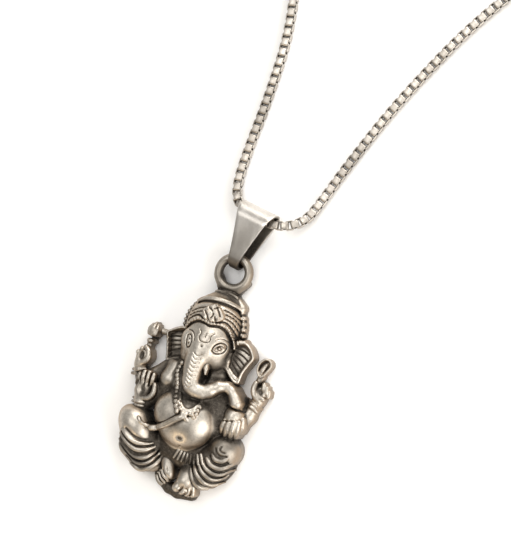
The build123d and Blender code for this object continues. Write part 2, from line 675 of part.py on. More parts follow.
for name, points, path, strand in (
    ("left", left_points, left_path, chain_left),
    ("right", right_points, right_path, chain_right),
):
    print(name, "strand: radii", [round(r, 1) for r in bend_radii(points)])
    length = sum(edge.length for edge in path.edges())
    tube = math.pi * chain_width ** 2 / 4 * length
    print(name, "length", round(length, 1), "volume share", round(strand.part.volume / tube, 4))
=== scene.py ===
"""Dresses the cast silver pendant, its bail and its box chain, and lays them in a plain studio."""
import logging
import math
from dataclasses import dataclass, field
from enum import Enum
from itertools import chain
from typing import Callable, NamedTuple, Sequence

import bpy
import numpy as np
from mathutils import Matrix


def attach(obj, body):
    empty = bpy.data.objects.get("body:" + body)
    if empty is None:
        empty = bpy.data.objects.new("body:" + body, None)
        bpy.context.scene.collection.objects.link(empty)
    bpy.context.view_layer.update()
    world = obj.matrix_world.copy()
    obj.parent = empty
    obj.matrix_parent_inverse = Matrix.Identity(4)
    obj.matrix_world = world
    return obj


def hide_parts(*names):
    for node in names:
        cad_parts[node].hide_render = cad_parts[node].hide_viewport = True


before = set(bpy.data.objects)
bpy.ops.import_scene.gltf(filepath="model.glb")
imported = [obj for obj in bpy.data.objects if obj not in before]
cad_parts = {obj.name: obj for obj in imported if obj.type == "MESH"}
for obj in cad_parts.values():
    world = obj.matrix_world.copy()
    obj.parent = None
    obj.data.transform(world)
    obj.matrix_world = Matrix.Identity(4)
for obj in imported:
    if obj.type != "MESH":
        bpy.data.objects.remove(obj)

import openvdb
from bpy.types import Material, Node, NodeSocket, NodeTree, Object
from mathutils import Matrix, Vector

LOG = logging.getLogger("pendant")
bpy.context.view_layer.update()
MM = 0.001
TINY = 1e-9
FAR = 99.0
EMPTY = 3.0
ROOM = 0.6
CLASP_CENTRE = (28.7317, 208.749, 1.5)
Point2 = tuple[float, float]
Point3 = tuple[float, float, float]
Line = tuple[Point2, ...]
Knots = tuple[tuple[float, float, float, float], ...]
Slices = tuple[slice, slice, slice]
Array = np.ndarray
Colour = tuple[float, float, float]


class Slot(Enum):
    """The material slots."""

    FIGURE = "oxidised_silver"
    BAIL = "bright_silver"
    CHAIN = "chain_silver"


class Join(float, Enum):
    """How a form meets what is already there."""

    CAST = 0.35
    FLOWING = 0.9


def seen(h: float, y: float, z: float) -> Point3:
    """Turns a reading from the front into a place on the figure.

    The front is read from about 14 degrees to the right of straight on, so what stands higher over
    the back reads further to the left.

    Args:
        h: The reading across, in millimetres.
        y: The place along the figure's height, in millimetres.
        z: The height over the flat back, in millimetres.

    Returns:
        The place on the figure in millimetres.
    """
    return (1.03 * h + 0.25 * z - 0.4, y, z)


def smooth_path(points: Sequence[Sequence[float]], step: float) -> Array:
    """Draws a smooth line through points, as a Catmull-Rom curve.

    Args:
        points: The points, each with the same number of coordinates.
        step: The distance between samples, in the points' own units.

    Returns:
        An array with one sample in each row.
    """
    knots = np.asarray(points, dtype=np.float64)
    if len(knots) < 3:
        count = max(2, int(np.linalg.norm(knots[-1] - knots[0]) / step) + 1)
        share = np.linspace(0.0, 1.0, count)[:, None]
        return knots[0] * (1 - share) + knots[-1] * share
    padded = np.vstack([2 * knots[0] - knots[1], knots, 2 * knots[-1] - knots[-2]])
    rows = []
    for i in range(1, len(padded) - 2):
        a, b, c, d = padded[i - 1:i + 3]
        count = max(2, int(np.linalg.norm(c - b) / step) + 1)
        t = np.linspace(0.0, 1.0, count, endpoint=False)[:, None]
        rows.append(0.5 * (2 * b + (c - a) * t + (2 * a - 5 * b + 4 * c - d) * t ** 2
                           + (3 * b - a - 3 * c + d) * t ** 3))
    rows.append(knots[-1:])
    return np.vstack(rows)


def distances_along(line: Array) -> Array:
    """Measures how far along a line each of its samples is."""
    return np.concatenate([[0.0], np.cumsum(np.linalg.norm(np.diff(line, axis=0), axis=1))])


def fade(z: Array, floor: float, ceiling: float, run: float) -> Array:
    """Gives 1 between two heights and 0 beyond them, with a short run from one to the other."""
    return np.clip((z - floor) / run + 0.5, 0, 1) * np.clip((ceiling - z) / run + 0.5, 0, 1)


def dished(height: float, dish: float, rim: float, slope: float) -> Callable[[Array], Array]:
    """Makes the rule for a plate's top that is dished inside a raised rim.

    Args:
        height: The rim's height.
        dish: How much lower the middle lies.
        rim: The rim's width.
        slope: The width of the slope inside it.

    Returns:
        A function that gives the top's height for a distance inside the edge.
    """
    return lambda away: height - dish * np.clip((away - rim) / slope, 0, 1)


@dataclass
class Clay:
    """A block of clay held as signed distances on a grid, in millimetres."""

    low: Point3
    high: Point3
    cell: float
    axes: list[Array] = field(init=False)
    level: Array = field(init=False)
    ink: Array = field(init=False)

    def __post_init__(self) -> None:
        """Starts with an empty block."""
        size = [int(math.ceil((b - a) / self.cell)) + 1 for a, b in zip(self.low, self.high)]
        self.axes = [
            (a + self.cell * np.arange(n)).astype(np.float32) for a, n in zip(self.low, size)
        ]
        self.level = np.full(size, EMPTY, dtype=np.float32)
        self.ink = np.zeros(size[:2], dtype=np.float32)

    def window(self, low: Sequence[float], high: Sequence[float], margin: float
               ) -> tuple[Slices, list[Array]]:
        """Finds the part of the block around a form.

        Args:
            low: The form's lowest corner.
            high: The form's highest corner.
            margin: The extra room on every side.

        Returns:
            The slices of the grid and the coordinates along X, Y and Z, ready to broadcast.
        """
        slices = []
        coordinates = []
        for k in range(3):
            start = int((low[k] - margin - self.low[k]) / self.cell)
            stop = int((high[k] + margin - self.low[k]) / self.cell) + 2
            start = min(max(start, 0), len(self.axes[k]) - 1)
            stop = min(max(stop, start + 1), len(self.axes[k]))
            slices.append(slice(start, stop))
            shape = [1, 1, 1]
            shape[k] = stop - start
            coordinates.append(self.axes[k][start:stop].reshape(shape))
        return tuple(slices), coordinates

    def window_round(self, line: Array, floor: float, ceiling: float, margin: float
                     ) -> tuple[Slices, list[Array]]:
        """Finds the part of the block around a line in plan, between two heights.

        Args:
            line: The line's samples.
            floor: The lowest height.
            ceiling: The highest height.
            margin: The extra room on every side.

        Returns:
            What window gives.
        """
        low = [line[:, 0].min(), line[:, 1].min(), max(floor, self.low[2])]
        high = [line[:, 0].max(), line[:, 1].max(), min(ceiling, self.high[2])]
        return self.window(low, high, margin)

    def blend(self, place: Slices, distance: Array, soft: float, cut: bool = False) -> None:
        """Adds a form to the clay, or cuts it out.

        Args:
            place: The slices that the form covers.
            distance: The form's signed distances there.
            soft: The radius of the fillet between the form and the clay.
            cut: Whether it is cut out.
        """
        sign = -1 if cut else 1
        old, new = self.level[place], sign * distance
        share = np.clip(0.5 + sign * 0.5 * (old - new) / soft, 0.0, 1.0)
        self.level[place] = old + (new - old) * share - sign * soft * share * (1 - share)

    def tops(self, x: float, y: float) -> float:
        """Finds how high the clay stands over a point in plan.

        Args:
            x: The point's X.
            y: The point's Y.

        Returns:
            The height in millimetres, or 0 where there is no clay.
        """
        i, j = (min(max(int(round((at - low) / self.cell)), 0), count - 1)
                for at, low, count in zip((x, y), self.low, self.level.shape))
        column = self.level[i, j]
        inside = np.nonzero(column < 0)[0]
        if len(inside) == 0:
            return 0.0
        k = inside[-1]
        if k + 1 >= len(column):
            return float(self.axes[2][k])
        share = column[k] / (column[k] - column[k + 1])
        return float(self.axes[2][k] + share * self.cell)

    def press(self, points: Sequence[Point2], width: float, depth: float,
              floor: float = -1.0, ceiling: float = FAR, ink: float = 1.0) -> None:
        """Presses a groove into the surface along a line in plan, or raises a ridge there.

        Args:
            points: The line's points in plan.
            width: The distance from the line at which the groove has faded to a third.
            depth: The groove's depth, negative for a ridge.
            floor: The lowest height that it works at.
            ceiling: The highest height that it works at.
            ink: How dark oxide gathers in it.
        """
        line = smooth_path(points, 0.15)
        place, (x, y, z) = self.window_round(line, floor, ceiling, 2.6 * width)
        away = plan_distance(x[:, :, 0], y[:, :, 0], line)
        amount = depth * np.exp(-(away / width) ** 2)
        gate = fade(z, floor, ceiling, 0.3)
        self.level[place] += (amount[:, :, None] * gate).astype(np.float32)
        if depth > 0:
            blot = ink * np.exp(-(away / (0.8 * width)) ** 2)
            self.ink[place[:2]] = np.maximum(self.ink[place[:2]], blot)

    def flatten_back(self) -> None:
        """Cuts the clay off level at the back."""
        self.level = np.maximum(self.level, -self.axes[2].reshape(1, 1, -1))

    def skin(self) -> tuple[Array, Array]:
        """Makes the clay's surface.

        Returns:
            The corners in millimetres, and the four-sided faces.
        """
        grid = openvdb.FloatGrid(EMPTY)
        grid.copyFromArray(self.level)
        corners, faces = grid.convertToQuads(0.0)
        return corners * self.cell + np.array(self.low), faces


def plan_distance(x: Array, y: Array, line: Array) -> Array:
    """Measures the distance in plan from each grid column to a line.

    Args:
        x: The columns' X, as a column of the grid.
        y: The columns' Y, as a row of the grid.
        line: The line's samples.

    Returns:
        The distances over the grid.
    """
    best = np.full(np.broadcast(x, y).shape, FAR, dtype=np.float32)
    for a, b in zip(line, line[1:]):
        run_x, run_y = b[0] - a[0], b[1] - a[1]
        length = max(run_x ** 2 + run_y ** 2, TINY)
        share = np.clip(((x - a[0]) * run_x + (y - a[1]) * run_y) / length, 0.0, 1.0)
        best = np.minimum(best, (x - a[0] - share * run_x) ** 2 + (y - a[1] - share * run_y) ** 2)
    return np.sqrt(best)


def signed_plan(x: Array, y: Array, line: Array) -> Array:
    """Measures the distance in plan to a closed line, with the inside negative.

    Args:
        x: The columns' X, as a column of the grid.
        y: The columns' Y, as a row of the grid.
        line: The line's samples, without the first one again at the end.

    Returns:
        The signed distances over the grid.
    """
    away = plan_distance(x, y, np.vstack([line, line[:1]]))
    inside = np.zeros(away.shape, dtype=bool)
    for a, b in zip(line, np.roll(line, -1, axis=0)):
        crosses = (a[1] > y) != (b[1] > y)
        rise = b[1] - a[1]
        at_x = a[0] + (y - a[1]) * (b[0] - a[0]) / (rise if abs(rise) > TINY else TINY)
        inside ^= crosses & (x < at_x)
    return np.where(inside, -away, away)


@dataclass
class Form:
    """A form of the figure, worked into the clay by readings taken from the front."""

    clay: Clay

    def place(self, h: float, y: float) -> Point2:
        """Finds the plan place of a reading, by meeting the clay's surface.

        Args:
            h: The reading across.
            y: The reading along the height.

        Returns:
            The place in plan.
        """
        z = 4.0
        for _ in range(8):
            z = 0.5 * z + 0.5 * self.clay.tops(seen(h, y, z)[0], y)
        return seen(h, y, z)[:2]

    def places(self, readings: Sequence[Point2]) -> list[Point2]:
        """Finds the plan places of several readings."""
        return [self.place(h, y) for h, y in readings]

    def work(self, *strokes: tuple[NamedTuple, ...]) -> None:
        """Works groups of strokes into the clay, in their order."""
        for stroke in chain.from_iterable(strokes):
            stroke.work(self)


class Dome(NamedTuple):
    """An ellipsoid, added or cut out, whose outline drops straight to the back or not."""

    centre: Point3
    radii: Point3
    soft: float
    drop: bool = True
    turn_deg: float = 0.0
    cut: bool = False

    def work(self, form: Form) -> None:
        """Works it into the clay.

        Args:
            form: The form, with the clay.
        """
        clay, reach = form.clay, max(self.radii)
        low = [c - reach for c in self.centre]
        high = [c + reach for c in self.centre]
        if self.drop:
            low[2] = clay.low[2]
        place, axes = clay.window(low, high, self.soft + ROOM)
        x, y, z = (axis - c for axis, c in zip(axes, self.centre))
        turn, (a, b, c) = math.radians(self.turn_deg), self.radii
        u = x * math.cos(turn) + y * math.sin(turn)
        v = y * math.cos(turn) - x * math.sin(turn)
        w = np.maximum(z, 0.0) if self.drop else z
        first = np.sqrt((u / a) ** 2 + (v / b) ** 2 + (w / c) ** 2)
        second = np.sqrt((u / a ** 2) ** 2 + (v / b ** 2) ** 2 + (w / c ** 2) ** 2)
        clay.blend(place, first * (first - 1) / np.maximum(second, 1e-6), self.soft, self.cut)


class Pad(NamedTuple):
    """An ellipsoid, added or cut out, with its middle as a reading."""

    reading: Point3
    radii: Point3
    soft: float
    cut: bool = False

    def work(self, form: Form) -> None:
        """Works it into the clay."""
        Dome(seen(*self.reading), self.radii, self.soft, not self.cut, cut=self.cut).work(form)


class Limb(NamedTuple):
    """A chain of round-ended cones: rows of x, y, z and radius, and its outer and inner fillets."""

    knots: Knots
    soft: float
    drop: bool = True
    inner_soft: float = 0.25

    def work(self, form: Form) -> None:
        """Works it into the clay.

        Args:
            form: The form, with the clay.
        """
        rows = np.asarray(self.knots, dtype=np.float64)
        low = (rows[:, :3] - rows[:, 3:4]).min(axis=0)
        high = (rows[:, :3] + rows[:, 3:4]).max(axis=0)
        if self.drop:
            low[2] = form.clay.low[2]
        place, (x, y, z) = form.clay.window(low, high, self.soft + ROOM)
        total = None
        for a, b in zip(rows, rows[1:]):
            run, height = b[:3] - a[:3], z
            level = (x - a[0]) * run[0] + (y - a[1]) * run[1]
            if self.drop:
                flat = max(run[0] ** 2 + run[1] ** 2, TINY)
                height = np.maximum(z, a[2] + np.clip(level / flat, 0.0, 1.0) * run[2])
            share = np.clip((level + (height - a[2]) * run[2]) / max(run @ run, TINY), 0.0, 1.0)
            distance = np.sqrt((x - a[0] - share * run[0]) ** 2 + (y - a[1] - share * run[1]) ** 2
                               + (height - a[2] - share * run[2]) ** 2)
            distance = distance - (a[3] + share * (b[3] - a[3]))
            if total is None:
                total = distance
            else:
                soft = self.inner_soft
                blend = np.clip(0.5 + 0.5 * (total - distance) / soft, 0.0, 1.0)
                total = total + (distance - total) * blend - soft * blend * (1 - blend)
        form.clay.blend(place, total.astype(np.float32), self.soft)


class Tube(NamedTuple):
    """A smooth tube through readings: rows of h, y, z and radius, and its fillet."""

    rows: Knots
    soft: float = 0.1

    def work(self, form: Form) -> None:
        """Works it into the clay."""
        knots = [(*seen(h, y, z), r) for h, y, z, r in smooth_path(self.rows, 0.45)]
        Limb(knots, self.soft, inner_soft=0.08).work(form)


class Plate(NamedTuple):
    """A plate with its outline in plan, whose top follows the distance from the edge."""

    outline: Line
    top: Callable[[Array], Array]
    soft: float
    edge: float

    def work(self, form: Form) -> None:
        """Works it into the clay.

        Args:
            form: The form, with the clay.
        """
        clay, edge = form.clay, self.edge
        line = smooth_path((*self.outline, *self.outline[:2]), 0.2)[:-1]
        place, (x, y, z) = clay.window_round(line, -FAR, FAR, self.soft + ROOM)
        away = signed_plan(x[:, :, 0], y[:, :, 0], line)
        height = self.top(np.maximum(-away, 0.0)).astype(np.float32)
        side = away[:, :, None] + edge
        upward = z - height[:, :, None] + edge
        distance = (np.minimum(np.maximum(side, upward), 0.0)
                    + np.sqrt(np.maximum(side, 0.0) ** 2 + np.maximum(upward, 0.0) ** 2) - edge)
        clay.blend(place, distance, self.soft)


class Swell(NamedTuple):
    """An even rise of the surface inside an outline of readings."""

    readings: Line
    height: float
    edge: float
    floor: float

    def work(self, form: Form) -> None:
        """Works it into the clay.

        Args:
            form: The form, with the clay.
        """
        outline = form.places(self.readings)
        line = smooth_path((*outline, outline[0]), 0.15)[:-1]
        place, (x, y, z) = form.clay.window_round(line, self.floor, FAR, self.edge)
        away = signed_plan(x[:, :, 0], y[:, :, 0], line)
        amount = self.height * np.clip(0.5 - away / self.edge, 0.0, 1.0)
        gate = fade(z, self.floor, FAR, 0.3)
        form.clay.level[place] -= (amount[:, :, None] * gate).astype(np.float32)


class Groove(NamedTuple):
    """A groove pressed along readings, or a ridge where the depth is negative."""

    readings: Line
    width: float = 0.2
    depth: float = 0.3
    floor: float = 1.0
    ink: float = 1.0

    def work(self, form: Form) -> None:
        """Works it into the clay."""
        line = form.places(self.readings)
        form.clay.press(line, self.width, self.depth, self.floor, ink=self.ink)


class Strand(NamedTuple):
    """A round strand laid over the surface along readings, thinner at its ends."""

    readings: Line
    radius: float
    lift: float = 0.0
    soft: float = 0.12
    ends: float = 0.55

    def work(self, form: Form) -> None:
        """Works it into the clay.

        Args:
            form: The form, with the clay.
        """
        line = smooth_path(form.places(self.readings), 0.3)
        heights = np.array([form.clay.tops(x, y) for x, y in line])
        kernel = np.array([1.0, 2.0, 3.0, 2.0, 1.0]) / 9.0
        if len(heights) >= len(kernel):
            heights = np.convolve(np.pad(heights, 2, mode="edge"), kernel, mode="valid")
        share = np.abs(np.linspace(-1.0, 1.0, len(line))) ** 3
        radii = self.radius * (1 - share * (1 - self.ends))
        knots = np.column_stack([line, heights + self.lift, radii])
        Limb(knots, self.soft, drop=False, inner_soft=0.05).work(form)


class Sling(NamedTuple):
    """A strand hung over the surface and across its gaps: rows of h, y and the least height."""

    rows: tuple[Point3, ...]
    radius: float

    def work(self, form: Form) -> None:
        """Works it into the clay."""
        knots = []
        for h, y, least in smooth_path(self.rows, 0.4):
            x, v = form.place(h, y)
            top = form.clay.tops(x, v)
            knots.append((x, v, top + 0.03, self.radius) if top > least
                         else (*seen(h, y, least), self.radius))
        Limb(knots, 0.08, drop=False, inner_soft=0.08).work(form)


class Pip(NamedTuple):
    """A bead set on the surface at a reading."""

    reading: Point2
    radius: float
    lift: float = 0.0
    soft: float = 0.08

    def work(self, form: Form) -> None:
        """Works it into the clay."""
        x, y = form.place(*self.reading)
        middle = (x, y, form.clay.tops(x, y) + self.lift)
        Dome(middle, (self.radius,) * 3, self.soft, drop=False).work(form)


class Pit(NamedTuple):
    """A small round hollow pressed at a reading."""

    reading: Point2
    radius: float
    depth: float = 0.25

    def work(self, form: Form) -> None:
        """Works it into the clay."""
        x, y = form.place(*self.reading)
        form.clay.press([(x, y), (x + 0.02, y)], self.radius, self.depth)


Strokes = tuple[NamedTuple, ...]


def each(kind: type, shapes: Sequence[Sequence], *settings: float) -> Strokes:
    """Makes one stroke of a kind for each shape, all with the same settings."""
    return tuple(kind(shape, *settings) for shape in shapes)


@dataclass
class Body(Form):
    """The belly, the chest and the lap."""

    domes: Strokes = (
        Dome((4.7, -2.3, 2.3), (2.3, 4.2, 2.3), Join.FLOWING),
        Dome((3.9, -0.2, 1.9), (2.2, 2.4, 2.2), Join.FLOWING),
        Dome((0.2, -8.9, 1.9), (5.0, 3.0, 2.4), Join.CAST),
        Dome((-0.2, 0.9, 2.3), (4.7, 3.4, 3.3), Join.FLOWING),
        Dome((-2.7, -3.5, 3.4), (2.6, 2.9, 3.4), Join.FLOWING),
        Dome((0.15, -4.3, 3.35), (4.85, 4.6, 4.15), Join.FLOWING),
    )

    def lay(self) -> None:
        """Lays the body's domes, from the back to the belly."""
        self.work(self.domes)


@dataclass
class Legs(Form):
    """The two folded legs, the cloth over them and its fringe below the belly."""

    left: Strokes = each(Limb, (
        ((-7.1, -8.9, 3.0, 2.6), (-4.3, -11.8, 2.7, 2.0)),
        ((-7.6, -7.3, 2.9, 2.6), (-4.7, -9.4, 2.7, 1.9)),
        ((-5.1, -12.2, 2.2, 1.8), (-3.3, -12.0, 2.3, 1.6)),
        ((-7.4, -10.5, 2.3, 2.2), (-5.3, -12.1, 2.2, 1.95)),
    ), Join.CAST)
    right: Strokes = each(Limb, (
        ((6.7, -9.1, 3.0, 2.35), (5.0, -11.5, 2.8, 2.1)),
        ((6.6, -10.3, 2.3, 1.95), (5.5, -11.8, 2.2, 1.75)),
        ((7.0, -7.5, 3.0, 2.3), (4.4, -9.0, 2.7, 1.7)),
    ), Join.CAST)
    knees: Strokes = (
        Dome((-7.6, -7.2, 2.7), (3.35, 2.4, 3.3), 0.7, turn_deg=-35.0),
        Dome((7.1, -7.0, 2.9), (2.45, 2.45, 2.8), Join.CAST),
    )
    left_pleats: tuple[Line, ...] = (
        ((-9.6, -8.5), (-8.3, -9.4), (-6.8, -9.8), (-5.5, -9.6), (-4.4, -9.2)),
        ((-9.6, -9.3), (-7.5, -10.6), (-6.3, -10.8), (-5.0, -10.4), (-3.9, -9.6)),
        ((-9.5, -10.2), (-8.0, -11.4), (-6.5, -12.0), (-5.0, -11.8), (-4.0, -10.9), (-3.4, -10.0)),
        ((-8.9, -11.3), (-7.0, -12.6), (-5.5, -12.8), (-4.3, -12.3), (-3.4, -11.2), (-2.9, -10.2)),
        ((-6.8, -13.3), (-5.3, -13.7), (-4.0, -13.1), (-3.0, -12.0), (-2.4, -10.5)),
    )
    right_pleats: tuple[Line, ...] = (
        ((4.9, -7.9), (5.5, -8.5), (6.5, -8.5), (7.2, -7.9)),
        ((4.2, -8.8), (5.0, -9.5), (6.5, -9.7), (7.7, -9.1), (8.3, -8.6)),
        ((3.7, -9.4), (4.4, -10.2), (6.0, -10.7), (7.5, -10.3), (8.5, -9.4)),
        ((3.3, -9.9), (4.2, -11.0), (5.8, -11.6), (7.2, -11.2), (8.3, -10.2)),
        ((2.6, -10.3), (3.5, -11.6), (5.0, -12.5), (6.3, -12.5), (7.5, -11.7)),
        ((2.3, -11.0), (3.2, -12.6), (4.4, -13.4), (5.7, -13.4)),
    )
    folds: Strokes = (
        Groove(((-9.0, -8.2), (-7.6, -8.9), (-6.2, -9.2), (-4.8, -9.0)), 0.3, 0.22, 1.0, 0.6),
        Groove(((5.1, -6.9), (5.4, -7.45), (6.1, -7.75), (7.0, -7.6)), 0.17, 0.17, 2.0, 0.5),
        Groove(((5.85, -6.4), (5.7, -6.75), (6.0, -7.1), (6.6, -7.15)), 0.15, 0.13, 2.0, 0.6),
    )
    fringe_centre: Point2 = (1.0, -4.6)
    fringe_near: Point2 = (4.6, 4.5)
    fringe_far: Point2 = (5.9, 5.9)
    fringe_strands: int = 8
    fringe_start_deg: float = 254.0
    fringe_step_deg: float = 6.4

    def lay(self) -> None:
        """Lays the shins, the thighs and the knees."""
        self.work(self.left, self.right, self.knees)

    def drape(self) -> None:
        """Drapes the pleats over both shins, with a groove between each two, and the fringe."""
        self.work(each(Strand, self.left_pleats + self.right_pleats, 0.42, -0.1, 0.1, 0.5))
        for pleats in (self.left_pleats, self.right_pleats):
            for upper, lower in zip(pleats, pleats[1:]):
                middle = [((a[0] + b[0]) / 2, (a[1] + b[1]) / 2) for a, b in zip(upper, lower)]
                Groove(middle, 0.14, 0.2).work(self)
        self.work(self.folds)
        for k in range(self.fringe_strands):
            turn = math.radians(self.fringe_start_deg + self.fringe_step_deg * k)
            ends = [(self.fringe_centre[0] + reach[0] * math.cos(turn),
                     self.fringe_centre[1] + reach[1] * math.sin(turn))
                    for reach in (self.fringe_near, self.fringe_far)]
            Strand(ends, 0.23, 0.02, 0.08, 0.9).work(self)


@dataclass
class Feet(Form):
    """The ledge under the feet, the feet and their toes."""

    ledge: Strokes = (Limb((
        (-1.7, -14.3, 0.7, 0.95), (-0.2, -15.3, 0.7, 0.9), (1.3, -15.65, 0.7, 0.88),
        (3.6, -15.35, 0.8, 0.86),
    ), Join.CAST),)
    right_foot: Strokes = (
        Tube(((2.0, -10.9, 2.4, 1.1), (2.1, -12.0, 3.0, 1.25), (2.1, -13.2, 3.45, 1.35)), 0.3),
        Tube(((2.6, -12.4, 2.8, 1.1), (3.0, -13.5, 2.7, 1.15)), 0.35),
    )
    toes: Strokes = each(Tube, (
        ((-1.6, -10.7, 2.7, 0.95), (-1.15, -11.8, 3.2, 0.98), (-0.65, -12.8, 3.45, 0.8),
         (-0.42, -13.2, 3.4, 0.66)),
        ((-1.75, -12.9, 2.7, 0.46), (-1.2, -13.6, 2.85, 0.43), (-0.6, -13.95, 2.8, 0.42)),
        ((-2.05, -13.4, 2.3, 0.43), (-1.55, -14.1, 2.4, 0.4), (-1.0, -14.5, 2.35, 0.4)),
        ((-2.35, -13.7, 1.8, 0.43), (-1.9, -14.55, 1.95, 0.4), (-1.35, -14.95, 1.9, 0.38)),
        ((1.6, -13.5, 3.6, 0.7), (1.2, -14.5, 3.65, 0.78)),
        ((2.2, -13.9, 3.7, 0.5), (2.15, -15.0, 3.5, 0.54)),
        ((2.85, -13.9, 3.5, 0.5), (3.0, -15.1, 3.2, 0.52)),
        ((3.45, -13.8, 3.2, 0.46), (3.75, -14.95, 2.8, 0.48)),
    ), 0.08)
    toe_gaps: Strokes = each(Groove, (
        ((2.0, -14.0), (1.9, -14.5), (1.45, -15.2)),
        ((2.7, -14.3), (2.8, -14.9), (2.5, -15.6)),
        ((3.45, -14.4), (3.45, -15.0), (3.2, -15.7)),
        ((-2.05, -13.15), (-1.5, -13.85), (-0.8, -14.2)),
        ((-2.3, -13.6), (-1.75, -14.35), (-1.1, -14.7)),
    ), 0.11, 0.2, 1.2)
    creases: Strokes = (
        Groove(((-1.25, -12.1), (-1.0, -12.5)), 0.12, 0.16, 1.5, 0.7),
        Groove(((-1.75, -12.5), (-1.45, -13.0), (-0.9, -13.45), (-0.3, -13.75)), 0.12, 0.2, 1.5),
    )

    def lay(self) -> None:
        """Lays the ledge, the feet and the toes."""
        self.work(self.ledge, self.right_foot, self.toes)

    def carve(self) -> None:
        """Carves the gaps between the toes and the creases over the left foot."""
        self.work(self.toe_gaps, self.creases)


@dataclass
class LeftArms(Form):
    """The two arms on the viewer's left: the far hand with its bud, and the raised palm."""

    far_arm: Strokes = (
        Limb((
            (-4.9, 3.1, 2.0, 1.35), (-7.0, 0.9, 1.9, 1.25), (-9.2, -0.4, 1.7, 1.05),
            (-9.9, 0.6, 1.8, 0.85), (-10.0, 1.8, 2.0, 0.95),
        ), Join.CAST),
        Limb(((-10.0, 1.7, 2.1, 1.0), (-10.1, 3.2, 2.2, 1.0)), Join.CAST),
        Limb(((-9.65, 3.0, 1.8, 0.5), (-9.6, 5.3, 1.9, 0.45)), 0.12),
        Limb(((-8.9, 7.45, 1.1, 0.45), (-7.0, 7.55, 1.1, 0.45)), 0.2),
        Pad((-10.15, 3.1, 3.3), (0.5, 0.85, 0.6), 0.15, cut=True),
        Tube((
            (-9.8, 4.5, 2.8, 0.36), (-9.2, 3.95, 3.0, 0.42), (-8.98, 3.05, 3.0, 0.46),
            (-9.4, 2.2, 2.9, 0.46), (-10.15, 1.75, 2.6, 0.42),
        )),
        Pad((-10.3, 4.05, 2.7), (0.34, 0.42, 0.5), 0.06),
        Pad((-10.75, 3.4, 2.55), (0.34, 0.42, 0.5), 0.06),
    )
    bud: Strokes = (
        Dome((-9.35, 7.1, 1.8), (0.82, 1.3, 1.3), 0.15),
        Dome((-9.5, 5.6, 1.8), (0.72, 0.5, 1.15), 0.1),
        *each(Tube, (
            ((-9.95, 6.6, 2.5, 0.3), (-10.0, 7.4, 2.5, 0.36), (-9.75, 8.2, 2.2, 0.2)),
            ((-9.5, 6.5, 2.8, 0.3), (-9.5, 7.6, 2.9, 0.4), (-9.3, 8.5, 2.3, 0.2)),
            ((-9.0, 6.6, 2.6, 0.3), (-8.95, 7.5, 2.6, 0.36), (-8.9, 8.25, 2.2, 0.2)),
        ), 0.16),
        Groove(((-10.4, 6.4), (-9.6, 6.15), (-8.8, 6.3)), 0.16, 0.3),
    )
    far_bracelets: Strokes = tuple(
        Strand(((-10.8, start), (-9.9, (start + end) / 2), (-8.9, end)), 0.27, 0.06, 0.08, 0.9)
        for start, end in ((0.45, 1.15), (-0.2, 0.4))
    )
    near_arm: Strokes = (
        Limb(((-4.1, 2.7, 2.8, 1.4), (-4.55, 1.0, 3.2, 1.4), (-4.9, -0.6, 2.9, 1.25)), 0.45),
        Limb(((-4.85, -0.6, 3.0, 1.1), (-6.3, -2.6, 2.8, 1.15), (-7.7, -4.2, 2.7, 1.15)), 0.3),
        Limb((
            (-7.8, -4.4, 2.9, 1.1), (-7.9, -3.3, 3.2, 1.15), (-7.95, -2.0, 3.3, 1.4),
            (-7.95, -0.9, 3.3, 1.25),
        ), 0.25),
        Dome((-8.1, -1.9, 5.0), (0.95, 1.3, 0.6), 0.3, drop=False, cut=True),
    )
    fingers: Strokes = each(Tube, (
        ((-9.4, -1.2, 3.4, 0.38), (-9.45, -0.3, 3.8, 0.38), (-9.4, 0.3, 3.7, 0.35)),
        ((-8.75, -1.1, 3.8, 0.38), (-8.75, 0.0, 4.3, 0.38), (-8.7, 0.85, 4.2, 0.35)),
        ((-8.05, -1.1, 3.9, 0.38), (-8.05, 0.1, 4.4, 0.38), (-8.0, 0.95, 4.3, 0.36)),
        ((-7.35, -1.0, 3.7, 0.38), (-7.3, 0.1, 4.2, 0.38), (-7.3, 0.8, 4.1, 0.36)),
        ((-8.3, -3.15, 4.0, 0.34), (-7.1, -2.85, 4.3, 0.4), (-6.55, -1.95, 4.4, 0.42),
         (-6.6, -0.95, 4.4, 0.36), (-6.75, -0.55, 4.3, 0.3)),
    ), 0.1)
    bracelets: Strokes = tuple(
        Strand(((-9.5, y), (-8.6, y - 0.12), (-7.5, y)), 0.24, 0.06, 0.08, 0.8)
        for y in (-3.75, -4.3)
    )
    finger_gaps: Strokes = tuple(
        Groove(((h, 0.9), (h, 0.0), (h + 0.05, -1.1)), 0.1, 0.24, 2.0)
        for h in (-9.08, -8.4, -7.68)
    )

    def lay(self) -> None:
        """Lays the far arm and its bud, then the near arm and its open hand."""
        self.work(self.far_arm, self.bud, self.far_bracelets)
        self.work(self.near_arm, self.fingers, self.bracelets, self.finger_gaps)


